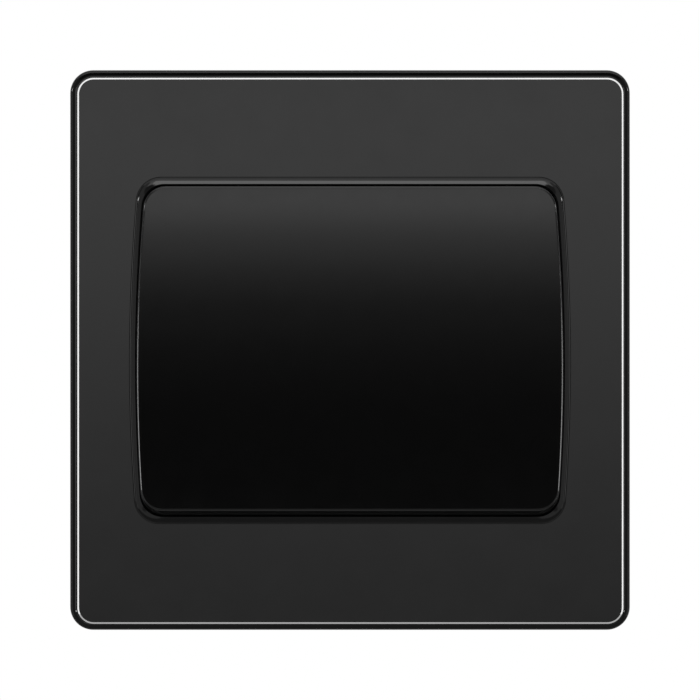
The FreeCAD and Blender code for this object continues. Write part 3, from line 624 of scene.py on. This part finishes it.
def dome(drop):
    """Steps (share, depth) from the bezel's outer edge up to its crest, steep first, then shallow."""
    shares = [step / DOME_STEPS for step in range(DOME_STEPS + 1)]
    slopes = [math.tan(math.radians(CREST_SLOPE + EDGE_SLOPE * share**4)) for share in shares]
    falls = [0.0]
    for one, two in zip(slopes, slopes[1:]):
        falls.append(falls[-1] + (one + two) / 2)
    return [(share, drop * fall / falls[-1]) for share, fall in zip(shares, reversed(falls))]


def rim_steps(size):
    """Steps (inset, y) from the skirt's rear over the round rim and the lip down to the recess."""
    edge, fall, lip = size["rim_round"], size["rim_fall"], size["rim_lip"]
    start = math.cos(RIM_TURNS[-1])
    steps = [(edge * (1 - math.sin(turn)), fall + edge * (start - math.cos(turn))) for turn in RIM_TURNS]
    steps += [
        (steps[-1][0] + GUARD, fall * (1 - GUARD_FALL)), (lip - LIP_CHAMFER - GUARD, fall * GUARD_FALL),
        (lip - LIP_CHAMFER, 0.0), (lip, LIP_DROP), (lip, LIP_DROP + GUARD),
    ]
    steps = [(inset, CARRIER_FRONT + depth) for inset, depth in steps]
    return [(0.0, CARRIER_REAR), *steps, (lip, PLATE_REAR)]


def bezel_rings(size):
    """Rings from the recess up the bezel's outer side, over its domed front and down its mouth."""
    bow = size["side_bow"]
    wide, high = size["opening_width"] - 2 * BEZEL_GAP, size["opening_height"] - 2 * BEZEL_GAP
    corner = size["opening_corner"] - BEZEL_GAP
    rings = [ring(wide, high, corner, PLATE_REAR, bow)]
    for share, depth in dome(size["bezel_drop"]):
        across, up = ((full - MOUTH_ROUND) * share for full in (BEZEL_SIDE, BEZEL_END))
        turn = corner - CREST_TURN * share
        rings.append(ring(wide - 2 * across, high - 2 * up, turn, BEZEL_FRONT + depth, bow))
    wide, high, corner = wide - 2 * BEZEL_SIDE, high - 2 * BEZEL_END, corner - MOUTH_TURN
    # The first step of the round lies on the crest, which is there already
    steps = list(quarter_round(MOUTH_ROUND))[1:]
    steps = [(depth - MOUTH_ROUND, BEZEL_FRONT + MOUTH_ROUND - inset) for inset, depth in steps]
    rings += inset_rings(wide, high, corner, steps, bow)
    rings.append(ring(wide + 2 * MOUTH_DRAFT, high + 2 * MOUTH_DRAFT, corner, CARRIER_WEB_REAR, bow))
    shift(rings, OPENING_PLAY)
    return rings


def carrier_cuts():
    """The carrier's openings: the earth leaf's window, the foot's notch, tongue slots and clip grooves."""
    front, rear = PLATE_REAR - CUT_OVER, CARRIER_WEB_REAR + CUT_OVER
    (left, low), (right, high) = EARTH_WINDOW
    cuts = [((left, front, low), (right, rear, high)), FOOT_NOTCH]
    reach = TONGUE_HALF + TONGUE_PLAY
    for side in (1, -1):
        for x in (-TONGUE_X, TONGUE_X):
            low, high = span(side, TONGUE_Z[0] - TONGUE_PLAY, TONGUE_Z[1] + TONGUE_PLAY)
            cuts.append(((x - reach, front, low), (x + reach, rear, high)))
        for x in (-CLIP_X, CLIP_X):
            low, high = span(side, *GROOVE_Z)
            cuts.append(((x - GROOVE_HALF, GROOVE_Y[0], low), (x + GROOVE_HALF, GROOVE_Y[1], high)))
    return cuts


def carve(work, cuts):
    """Cuts blocks, each given by its low and high corners, out of the work."""
    cutter = bmesh.new()
    for low, high in cuts:
        block(cutter, low, high, chamfer=0)
    made = []
    for name, shape in (("body", work), ("cutter", cutter)):
        bmesh.ops.recalc_face_normals(shape, faces=shape.faces)
        mesh = bpy.data.meshes.new(name)
        shape.to_mesh(mesh)
        shape.free()
        made.append(add_object(name, mesh))
    body, cutter = made
    cut = body.modifiers.new("cut", "BOOLEAN")
    cut.operation, cut.solver, cut.object = "DIFFERENCE", "EXACT", cutter
    result = evaluated(body)
    for each in made:
        bpy.data.objects.remove(each)
    return take_in(bmesh.new(), result)


class SWITCH_OT_front_plate(bpy.types.Operator):
    """Makes the metal plate, with its bright cut edge and the tongues that hold it"""

    bl_idname = "switch.front_plate"
    bl_label = "Front Plate"

    def execute(self, context):
        size = settings()
        tints = context.scene.switch_colours
        plate, bevel = size["plate_side"], size["plate_bevel"]
        # Polished black nickel gives a dark mirror that takes the room's light as one soft sweep
        face_metal = finish("black_nickel_plated_steel", tints.plate, 0.03, 6.0, (0.07, 0.09), 0.0002, 1.0)
        # The diamond-cut edge is bare bright metal and gives a thin white line round the plate.
        # The cutter's marks are really about 0.05 mm apart, and are drawn at 0.5 mm to show
        edge_metal = finish("diamond_cut_bright_edge", tints.cut_edge, 0.06, 0.5, (0.10, 0.16), 0.0005, 1.0)
        work = bmesh.new()
        rings = inset_rings(plate, plate, size["plate_corner"], (
            (0.0, PLATE_REAR), (0.0, PLATE_FRONT + bevel + BEVEL_GUARD), (0.0, PLATE_FRONT + bevel),
            (bevel, PLATE_FRONT), (bevel + GUARD, PLATE_FRONT),
        ))
        mouth = inset_rings(size["opening_width"], size["opening_height"], size["opening_corner"], (
            (-MOUTH_GUARD, PLATE_FRONT), (-MOUTH_BREAK, PLATE_FRONT), (0.0, PLATE_FRONT + MOUTH_BREAK),
            (0.0, PLATE_REAR),
        ), size["side_bow"])
        # The plate lies at the foot of its play in the carrier, as gravity leaves it
        shift(rings, PLATE_PLAY)
        shift(mouth, OPENING_PLAY)
        rings += mouth
        rows = bridge(work, rings, True)
        bevel_ends = set(rows[2] + rows[3])
        for face in work.faces:
            if bevel_ends.issuperset(face.verts):
                face.material_index = 1
        for x in (-TONGUE_X, TONGUE_X):
            left, right = x - TONGUE_HALF, x + TONGUE_HALF
            for side in (-1, 1):
                low, high = span(side, *TONGUE_Z)
                block(work, (left, PLATE_REAR - CUT_OVER, low), (right, TONGUE_REAR, high))
                low, high = span(side, *BEND_Z)
                block(work, (left, CARRIER_WEB_REAR, low), (right, TONGUE_REAR, high))
        piece("front_plate", work, "cover", [face_metal, edge_metal], 20)
        return {"FINISHED"}


class SWITCH_OT_plate_carrier(bpy.types.Operator):
    """Makes the gloss moulding with its round rim, skirt, bezel and ribs"""

    bl_idname = "switch.plate_carrier"
    bl_label = "Plate Carrier"

    def execute(self, context):
        size = settings()
        tint = context.scene.switch_colours.carrier
        side, corner = size["rim_side"], size["rim_corner"]
        # Polished polycarbonate gives a sharp clear mirror over a deep black, with slow mould waves
        gloss = finish("polished_black_polycarbonate", tint, 0.2, 3.0, (0.05, 0.07), 0.0002, ior=1.54)
        rings = inset_rings(side, side, corner, rim_steps(size)) + bezel_rings(size)
        rings += inset_rings(side, side, corner, ((SKIRT, CARRIER_WEB_REAR), (SKIRT, CARRIER_REAR)))
        work = bmesh.new()
        bridge(work, rings, True)
        work = carve(work, carrier_cuts())
        lines = [(x, z * RIB_START_Z, x, z * RIB_REACH) for z in (1, -1) for x in UPRIGHT_RIBS]
        lines += [(x * RIB_START_X, z, x * RIB_REACH, z) for x in (1, -1) for z in LEVEL_RIBS]
        add_ribs(work, lines, CARRIER_WEB_REAR - RIB_OVERLAP, RIB_REAR, size, gloss)
        piece("plate_carrier", work, "cover", [gloss], 20)
        return {"FINISHED"}


# The rocker's pivot and its tilt either way, from the CAD joint
JOINTS = {joint["name"]: joint for joint in frame["joints"]}
PIVOT_Y = round(JOINTS["rocker_tilt"]["pos_m"][1] / MM, 5)
TILT = math.radians(JOINTS["rocker_tilt"]["range_deg"][1] / 2)

# The rocker about its pivot, in millimetres: how far ahead the face's ends lie, the radius of its end
# walls, how far back its walls reach, their thickness, and how low it hangs in its play
EDGE_AHEAD = 5.6
WALL_RADIUS = 28.195
ROCKER_REAR = 0.47562
ROCKER_WALL = 1.8
ROCKER_PLAY = -0.1

# The guard ring inside its round, and the rings over its face, down its walls and behind the face
ROUND_GUARD = 0.04
FACE_RINGS, OUTER_RINGS, INNER_RINGS, BACK_RINGS = 28, 6, 5, 12

# Its ribs: places, how far they reach, and front and rear
LONG_RIBS, LONG_REACH = (-28.0, -18.2, 18.2, 28.0), 26.7
CROSS_RIBS, CROSS_REACH = (-14.5, 14.5), 34.7
ROCKER_RIB_Y = -3.9, -0.9

# Its snap hooks: half their width, then arm and nose as spans across and front to rear
HOOK_HALF = 4
HOOK_PARTS = ((8.05, 9.25), (-3.285, -0.135)), ((7.45, 8.3), (-0.735, -0.135))


class SWITCH_OT_rocker_cap(bpy.types.Operator):
    """Makes the dished rocker, whose end walls follow its pivot, with the ribs and hooks inside"""

    bl_idname = "switch.rocker_cap"
    bl_label = "Rocker Cap"

    def execute(self, context):
        size = settings()
        tint = context.scene.switch_colours.rocker
        # Pressed and polished urea gives a glassy face, black where it mirrors the dark of the room
        gloss = finish("polished_black_urea", tint, 0.2, 3.0, (0.05, 0.07), 0.0002, ior=1.58)
        half_length = math.sqrt(WALL_RADIUS**2 - EDGE_AHEAD**2)
        dish_radius = half_length / math.sin(TILT)
        dish_centre = -EDGE_AHEAD - dish_radius * math.cos(TILT)

        def dish(z, inset=0.0):
            return dish_centre + math.sqrt((dish_radius + inset) ** 2 - z**2)

        def row(inset, depth, share=1.0, wall=0.0, along=0.0):
            """One ring: inset over the round, sunk by depth, drawn in to a share, or on down the wall."""
            end_y = -EDGE_AHEAD + along * (ROCKER_REAR + EDGE_AHEAD)
            wide = size["rocker_width"] - 2 * (inset + wall)
            tall = 2 * (math.sqrt(WALL_RADIUS**2 - end_y**2) - inset - wall)
            made = []
            for x, z in outline(wide, tall, size["rocker_corner"] - inset - wall, size["side_bow"]):
                x, z = x * share, z * share
                front = dish(z, wall) + depth
                made.append(Vector((x * (1 - ROCKER_TAPER * z), front + along * (ROCKER_REAR - front), z)))
            return made

        work = bmesh.new()
        edge = size["rocker_round"]
        rings = [row(edge, 0.0, number / FACE_RINGS) for number in range(1, FACE_RINGS)]
        rings.append(row(edge + ROUND_GUARD, 0.0))
        rings += [row(inset, depth) for inset, depth in quarter_round(edge)]
        start = edge / (ROCKER_REAR + EDGE_AHEAD)
        for number in range(1, OUTER_RINGS + 1):
            rings.append(row(0.0, 0.0, along=start + (1 - start) * number / OUTER_RINGS))
        for number in range(INNER_RINGS + 1):
            rings.append(row(0.0, 0.0, wall=ROCKER_WALL, along=1 - number / INNER_RINGS))
        for number in range(BACK_RINGS - 1, 0, -1):
            rings.append(row(0.0, 0.0, number / BACK_RINGS, ROCKER_WALL))
        rows = bridge(work, rings, False)
        fan(work, rows[0], (0, dish(0), 0))
        fan(work, rows[-1], (0, dish(0, ROCKER_WALL), 0))
        lines = [(x, -LONG_REACH, x, LONG_REACH) for x in LONG_RIBS]
        lines += [(-CROSS_REACH, z, CROSS_REACH, z) for z in CROSS_RIBS]
        add_ribs(work, lines, *ROCKER_RIB_Y, size, gloss)
        for side in (1, -1):
            for across, (front, rear) in HOOK_PARTS:
                low, high = span(side, *across)
                block(work, (-HOOK_HALF, front, low), (HOOK_HALF, rear, high))
        placed = Matrix.Translation((0, PIVOT_Y, ROCKER_PLAY)) @ Matrix.Rotation(-TILT, 4, "X")
        bmesh.ops.transform(work, matrix=placed, verts=work.verts)
        piece("rocker_cap", work, "rocker", [gloss])
        return {"FINISHED"}


class SWITCH_OT_mouldings(bpy.types.Operator):
    """Finishes the frame, the housing, the lever and the plunger"""

    bl_idname = "switch.mouldings"
    bl_label = "Moulded Parts"

    def execute(self, context):
        tints = context.scene.switch_colours
        # The mouldings' spark-eroded grain is really 0.05 mm across, and is drawn 8 to 12 times as
        # coarse to show. ABS gives an even satin black
        dress(finish("satin_black_abs", tints.dolly, 0.15, 0.4, (0.35, 0.5), 0.004), "dolly")
        # Polycarbonate from a textured mould gives a soft grey sheen
        grey = finish("satin_grey_polycarbonate", tints.base, 0.12, 0.5, (0.38, 0.52), 0.005, ior=1.58)
        dress(grey, "mounting_frame")
        # Pressed urea gives a dense, slightly warm white, a little glossier than the frame
        white = finish("white_urea_formaldehyde", tints.housing, 0.04, 0.6, (0.28, 0.4), 0.003, ior=1.56)
        dress(white, "mechanism_housing")
        # Natural nylon gives a milky, waxy cream
        dress(finish("natural_nylon_rod", tints.nylon, 0.06, 0.4, (0.3, 0.42), 0.003, ior=1.53), "plunger")
        return {"FINISHED"}


class SWITCH_OT_metal_parts(bpy.types.Operator):
    """Finishes the terminals, the contacts, the clips and the earth parts"""

    bl_idname = "switch.metal_parts"
    bl_label = "Metal Parts"

    def execute(self, context):
        tints = context.scene.switch_colours
        # Sawn and drilled brass gives a warm yellow with fine tool marks, really 0.05 mm apart and
        # drawn at 0.25 mm to show
        brass = finish("machined_brass", tints.brass, 0.1, 0.25, (0.24, 0.34), 0.001, 1.0, stretch=(1, 6, 1))
        # Rolled strip gives streaks along the rolling direction, really 0.03 mm wide and drawn at
        # 0.3 mm to show: reddish on the bronze, cool grey on the steel
        rolled = {"metallic": 1.0, "stretch": (1, 1, 8)}
        copper = finish("rolled_phosphor_bronze", tints.copper, 0.12, 0.3, (0.2, 0.32), 0.001, **rolled)
        steel = finish("rolled_spring_steel", tints.spring_steel, 0.12, 0.3, (0.2, 0.34), 0.001, **rolled)
        # A silver rivet gives a soft, almost white brightness
        silver = finish("silver_nickel_contact", tints.silver, 0.08, 0.3, (0.15, 0.28), 0.001, 1.0)
        dress(brass, "com_terminal", "l1_terminal", "l2_terminal", "earth_terminal")
        dress(copper, "rocking_contact", "earth_spring")
        dress(steel, "plate_clips")
        dress(silver, "moving_contact_tips", "fixed_contact_tips")
        return {"FINISHED"}


# Places (x, z) of the screws in millimetres, and the turns that lay a shank along +Y and -Y
FIXING_PLACES = (-30.15, 0), (30.15, 0)
CLAMP_PLACES = (-14.6, 11.8), (14.6, 11.8), (14.6, -11.8)
EARTH_PLACES = ((-30.15, -27.0),)
LUG_PLACES = (-23.5, 12.0), (23.5, -12.0)
INTO_WALL, OUT_OF_WALL = -math.pi / 2, math.pi / 2


class SWITCH_OT_screws(bpy.types.Operator):
    """Makes the box screws, the clamp screws and the housing's screws, all threaded"""

    bl_idname = "switch.screws"
    bl_label = "Screws"

    def execute(self, context):
        size = settings()
        tree = screw_tree()
        # Zinc plate gives a bright bluish grey with a faint mottle, drawn at 0.4 mm to show
        tint = context.scene.switch_colours.zinc
        zinc = finish("zinc_plated_steel", tint, 0.07, 0.4, (0.2, 0.3), 0.0006, 1.0)
        box_screw = {"Thread Pitch": size["fixing_pitch"], "Turn": (INTO_WALL, math.pi / 2, 0.0)}
        clamp_screw = {
            "Head Radius": 1.72, "Head Height": 1.4, "Shank Length": 4.4, "Neck Length": 0.1,
            "Thread Depth": 0.22, "Thread Pitch": size["clamp_pitch"], "Point Length": 0.3,
            "Slot Length": 4.0, "Turn": (OUT_OF_WALL, 0.0, 0.0),
        }
        lug_screw = {
            "Head Radius": 2.1, "Head Height": 1.3, "Core Radius": 0.7, "Shank Length": 5.0,
            "Neck Length": 0.9, "Thread Pitch": size["lug_pitch"], "Point Length": 0.8, "Slot Width": 0.5,
            "Slot Length": 2.8, "Slot Depth": 0.7, "Cross": True, "Turn": (OUT_OF_WALL, 0.0, 0.0),
        }
        for node, head, places, values in (
            ("fixing_screws", front_of, FIXING_PLACES, box_screw),
            ("terminal_screws", rear_of, CLAMP_PLACES, clamp_screw),
            ("earth_screw", rear_of, EARTH_PLACES, clamp_screw),
            ("housing_screws", rear_of, LUG_PLACES, lug_screw),
        ):
            points = [(x, head(node), z) for x, z in places]
            add_grown(node, tree, points, values, zinc, "base")
        return {"FINISHED"}


# The coil in millimetres: where it lies along the lever's stem from the pivot, and its radius
COIL_SPAN = (1.27, 6.47)
COIL_RADIUS = 1.14


class SWITCH_OT_plunger_spring(bpy.types.Operator):
    """Makes the coil that presses the plunger on the blade"""

    bl_idname = "switch.plunger_spring"
    bl_label = "Plunger Spring"

    def execute(self, context):
        tint = context.scene.switch_colours.spring_steel
        # Drawn wire gives a bright, slightly oily grey
        steel = finish("drawn_spring_wire", tint, 0.12, 0.3, (0.2, 0.34), 0.001, 1.0)
        low, high = COIL_SPAN
        wire = settings()["coil_wire"] / 2
        values = {
            "Coil Radius": COIL_RADIUS, "Wire Radius": wire, "Length": high - low,
            "Turns": float(context.scene.switch_sizes.coil_turns), "Turn": (INTO_WALL - TILT, 0.0, 0.0),
        }
        start = (0, PIVOT_Y + low * math.cos(TILT), -low * math.sin(TILT))
        coil = add_grown("plunger_spring", coil_tree(), [start], values, steel, "rocker")
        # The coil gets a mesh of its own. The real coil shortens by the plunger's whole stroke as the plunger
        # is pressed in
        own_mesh(coil)
        return {"FINISHED"}


# The studio in metres: its sides, then the reflector card with the lights above and flags beside it,
# the strips level with the switch, and how far back the front cards overhead, beside and below reach
FRONT, SIDE, GROUND, CEILING, REAR = -4.0, 2.0, -1.0, 2.0, 2.4
CARD_HALF, CARD_TOP = 0.6, 1.28
SKY_HALF, SKY_EDGE, FLAG_EDGE = 0.7, 1.2, 1.25
STRIP_FRONT, STRIP_REAR = -0.12, 0.22
OVERHEAD_REAR, WALL_GREY_REAR, UNDER_GREY_REAR = -1.9, -2.0, -2.6

# How strongly each kind of studio card glows
GLOWS = {
    "dark_flag": 0.16, "grey_flag": 0.4, "soft_ceiling": 0.65, "overhead_light": 0.95,
    "high_light": 2.5, "high_light_edge": 1.2, "side_light": 9.5,
    "strip_light": 2.0, "thin_strip_light": 1.0, "under_strip_light": 0.85,
}

# The card's glow at heights in metres, brightest a little above the camera
CARD_STOPS = (
    (GROUND, 0.15), (-0.106, 0.36), (0.0, 0.6), (0.065, 0.86), (0.115, 0.97), (0.2, 0.62), (0.3, 0.36),
    (0.4, 0.18), (0.52, 0.1), (0.7, 0.045), (CARD_TOP, 0.03),
)


def sheet(name, corners, material):
    """A flat four-cornered stage piece, given in metres."""
    mesh = bpy.data.meshes.new(name)
    mesh.from_pydata(corners, [], [(0, 1, 2, 3)])
    mesh.materials.append(material)
    made = add_object(name, mesh)
    return made


def glow(name, strength=1.0):
    """A material that gives off plain light of one strength."""
    material, tree = blank_material(name)
    light = add(tree, "ShaderNodeEmission", {"Color": (1, 1, 1, 1), "Strength": strength})
    add(tree, "ShaderNodeOutputMaterial", {"Surface": light})
    return material


def flat_corners(x, y, z):
    """The corners of a flat shape from its spans, one of them a single place, or z as four heights."""
    upright = x[0] == x[1]
    heights = z if len(z) == 4 else (z[0], z[0], z[1], z[1])
    turns = ((0, 0), (1, 0), (1, 1), (0, 1))
    return [(x[a], y[a if upright else b], height) for (a, b), height in zip(turns, heights)]


def mirrored_card(name, corners, material):
    """A studio card that only mirrors in the gloss: no camera sees it and it throws no light."""
    made = sheet(name, corners, material)
    made.visible_camera = made.visible_diffuse = made.visible_shadow = False
    made.visible_transmission = made.visible_volume_scatter = False


def studio_cards():
    """The cards but the reflector, as (name, x, y, z, glow): flags, and the lights that shape the gloss."""
    front, beside_card, above_card = (FRONT, FRONT), (GROUND, CARD_TOP), (CARD_TOP, CEILING)
    wall, near_wall, nearer = (SIDE, SIDE), (0.99 * SIDE, 0.99 * SIDE), (0.98 * SIDE, 0.98 * SIDE)
    across, full, above, below = (-SIDE, SIDE), (GROUND, CEILING), (CEILING, CEILING), (GROUND, GROUND)
    strip, behind, overhead = (STRIP_FRONT, STRIP_REAR), (STRIP_REAR, REAR), (FRONT, OVERHEAD_REAR)
    cards = [("high_front_light", (-SKY_HALF, SKY_HALF), front, above_card, "high_light")]
    cards += [
        (f"{name}_{part}", (side * near, side * far), y, z, kind)
        for name, side in (("left", -1), ("right", 1))
        for part, (near, far), y, z, kind in (
            ("front_flag", (CARD_HALF, FLAG_EDGE), front, beside_card, "dark_flag"),
            ("far_flag", (FLAG_EDGE, SIDE), front, beside_card, "grey_flag"),
            ("high_light", (SKY_HALF, SKY_EDGE), front, above_card, "high_light_edge"),
            ("high_flag", (SKY_EDGE, SIDE), front, above_card, "grey_flag"),
            ("overhead_flag", (SKY_EDGE, SIDE), overhead, above, "grey_flag"),
            ("grey_flag", wall, (FRONT, WALL_GREY_REAR), full, "grey_flag"),
            ("flag", wall, (WALL_GREY_REAR, STRIP_FRONT), full, "dark_flag"),
            ("light", near_wall, (-2.4, -1.15), (0.36, 0.26, 0.37, 0.64), "side_light"),
            ("thin_strip", nearer, (-1.9, -1.5), (GROUND, 0.2), "thin_strip_light"),
            ("strip", wall, strip, full, "strip_light"),
            ("rear_flag", wall, behind, full, "dark_flag"),
        )
    ]
    return cards + [
        ("overhead", (-SKY_EDGE, SKY_EDGE), overhead, above, "overhead_light"),
        ("top_flag", across, (OVERHEAD_REAR, STRIP_FRONT), above, "soft_ceiling"),
        ("top_strip", across, strip, above, "strip_light"),
        ("top_rear_flag", across, behind, above, "dark_flag"),
        ("under_front_flag", across, (FRONT, UNDER_GREY_REAR), below, "grey_flag"),
        ("under_flag", across, (UNDER_GREY_REAR, STRIP_FRONT), below, "dark_flag"),
        ("under_strip", across, strip, below, "under_strip_light"),
        ("under_rear_flag", across, behind, below, "dark_flag"),
    ]


def lamp(name, place, wide, tall, power):
    """A soft area lamp that points at the switch and isn't mirrored."""
    data = bpy.data.lights.new(name, "AREA")
    data.shape = "RECTANGLE"
    data.size, data.size_y, data.energy = wide, tall, power
    made = add_object(name, data)
    made.location = place
    made.rotation_euler = (-Vector(place)).to_track_quat("-Z", "Y").to_euler()
    made.visible_camera = made.visible_glossy = False


class SWITCH_OT_stage(bpy.types.Operator):
    """Makes the floor, the camera, the lamps, the reflector card and the pale surroundings"""

    bl_idname = "switch.stage"
    bl_label = "Stage"

    def execute(self, context):
        scene = context.scene
        stage = scene.switch_stage
        scene.view_settings.view_transform = "Standard"
        plate_face = PLATE_FRONT * MM
        data = bpy.data.cameras.new("camera")
        data.lens = data.sensor_width * stage.camera_distance / stage.view_width
        data.clip_start, data.clip_end = 0.01, 50
        camera = add_object("camera", data)
        camera.location = (0, plate_face - stage.camera_distance, 0)
        camera.rotation_euler = (math.pi / 2, 0, 0)
        scene.camera = camera

        world = bpy.data.worlds.new("pale_surroundings")
        world.use_nodes = True
        tree = world.node_tree
        tree.nodes.clear()
        rays = add(tree, "ShaderNodeLightPath")
        seen = rays.outputs["Is Camera Ray"]
        for kind in ("Is Glossy Ray", "Is Transmission Ray"):
            seen = add(tree, "ShaderNodeMath", {0: seen, 1: rays.outputs[kind]}, operation="MAXIMUM")
        soft = add(tree, "ShaderNodeBackground", {"Color": (1, 1, 1, 1), "Strength": 0.55})
        white = add(tree, "ShaderNodeBackground", {"Color": (1, 1, 1, 1), "Strength": 1.0})
        both = add(tree, "ShaderNodeMixShader", {0: seen, 1: soft, 2: white})
        add(tree, "ShaderNodeOutputWorld", {"Surface": both})
        scene.world = world

        # Matt paper gives a plain pale ground that keeps the shadow
        pale = finish("pale_matt_floor", scene.switch_colours.floor, 0.02, 20.0, (0.6, 0.7), 0.01)
        level = (stage.floor_height, stage.floor_height)
        floor = sheet("floor", flat_corners((-0.7, 0.7), (-0.9, 0.25), level), pale)
        floor.visible_glossy = False

        # The reflector card stands behind the camera, and its soft edges give the rocker its sweep
        card = glow("soft_edged_reflector_card")
        tree = card.node_tree
        place = add(tree, "ShaderNodeTexCoord").outputs["Object"]
        height = add(tree, "ShaderNodeSeparateXYZ", {0: place}).outputs["Z"]
        share = add(tree, "ShaderNodeMapRange", {"Value": height, "From Min": GROUND, "From Max": CARD_TOP})
        tone = add(tree, "ShaderNodeValToRGB", {"Fac": share})
        ramp = tone.color_ramp
        ramp.interpolation = "CARDINAL"
        while len(ramp.elements) < len(CARD_STOPS):
            ramp.elements.new(0.5)
        for element, (at, value) in zip(ramp.elements, CARD_STOPS):
            element.position = (at - GROUND) / (CARD_TOP - GROUND)
            element.color = (value, value, value, 1)
        tree.links.new(tone.outputs["Color"], tree.nodes["Emission"].inputs["Color"])

        corners = flat_corners((-CARD_HALF, CARD_HALF), (FRONT, FRONT), (GROUND, CARD_TOP))
        mirrored_card("reflector_card", corners, card)
        glows = {name: glow(name, strength) for name, strength in GLOWS.items()}
        for name, x, y, z, kind in studio_cards():
            mirrored_card(name, flat_corners(x, y, z), glows[kind])

        lamp("top_lamp", (0, -0.7, 1.6), 1.4, 1.0, 9)
        lamp("rear_lamp", (0.6, 1.5, 1.0), 1.2, 1.2, 9)
        lamp("left_lamp", (-1.5, -0.9, 0.35), 0.6, 1.0, 5)
        lamp("right_lamp", (1.5, -0.9, 0.35), 0.6, 1.0, 5)
        return {"FINISHED"}


OPERATORS = (
    SWITCH_OT_front_plate, SWITCH_OT_plate_carrier, SWITCH_OT_rocker_cap, SWITCH_OT_mouldings,
    SWITCH_OT_metal_parts, SWITCH_OT_screws, SWITCH_OT_plunger_spring, SWITCH_OT_stage,
)


class SWITCH_PT_panel(bpy.types.Panel):
    """Lists the switch's sizes, colours and pieces"""

    bl_idname = "SWITCH_PT_panel"
    bl_label = "Rocker Light Switch"
    bl_space_type = "VIEW_3D"
    bl_region_type = "UI"
    bl_category = "Switch"

    def draw(self, context):
        for group in (context.scene.switch_sizes, context.scene.switch_colours, context.scene.switch_stage):
            column = self.layout.column()
            for name in type(group).__annotations__:
                column.prop(group, name)
        for operator in OPERATORS:
            self.layout.operator(operator.bl_idname)


CLASSES = (SwitchSizes, SwitchColours, SwitchStage, *OPERATORS, SWITCH_PT_panel)


def register():
    """Registers the classes and the scene's properties."""
    for entry in CLASSES:
        bpy.utils.register_class(entry)
    bpy.types.Scene.switch_sizes = PointerProperty(type=SwitchSizes)
    bpy.types.Scene.switch_colours = PointerProperty(type=SwitchColours)
    bpy.types.Scene.switch_stage = PointerProperty(type=SwitchStage)


def unregister():
    """Removes the scene's properties and the classes."""
    del bpy.types.Scene.switch_sizes, bpy.types.Scene.switch_colours, bpy.types.Scene.switch_stage
    for entry in reversed(CLASSES):
        bpy.utils.unregister_class(entry)


def main():
    """Makes every piece and the stage."""
    register()
    bpy.ops.switch.front_plate()
    bpy.ops.switch.plate_carrier()
    bpy.ops.switch.rocker_cap()
    bpy.ops.switch.mouldings()
    bpy.ops.switch.metal_parts()
    bpy.ops.switch.screws()
    bpy.ops.switch.plunger_spring()
    bpy.ops.switch.stage()


if __name__ == "__main__":
    main()
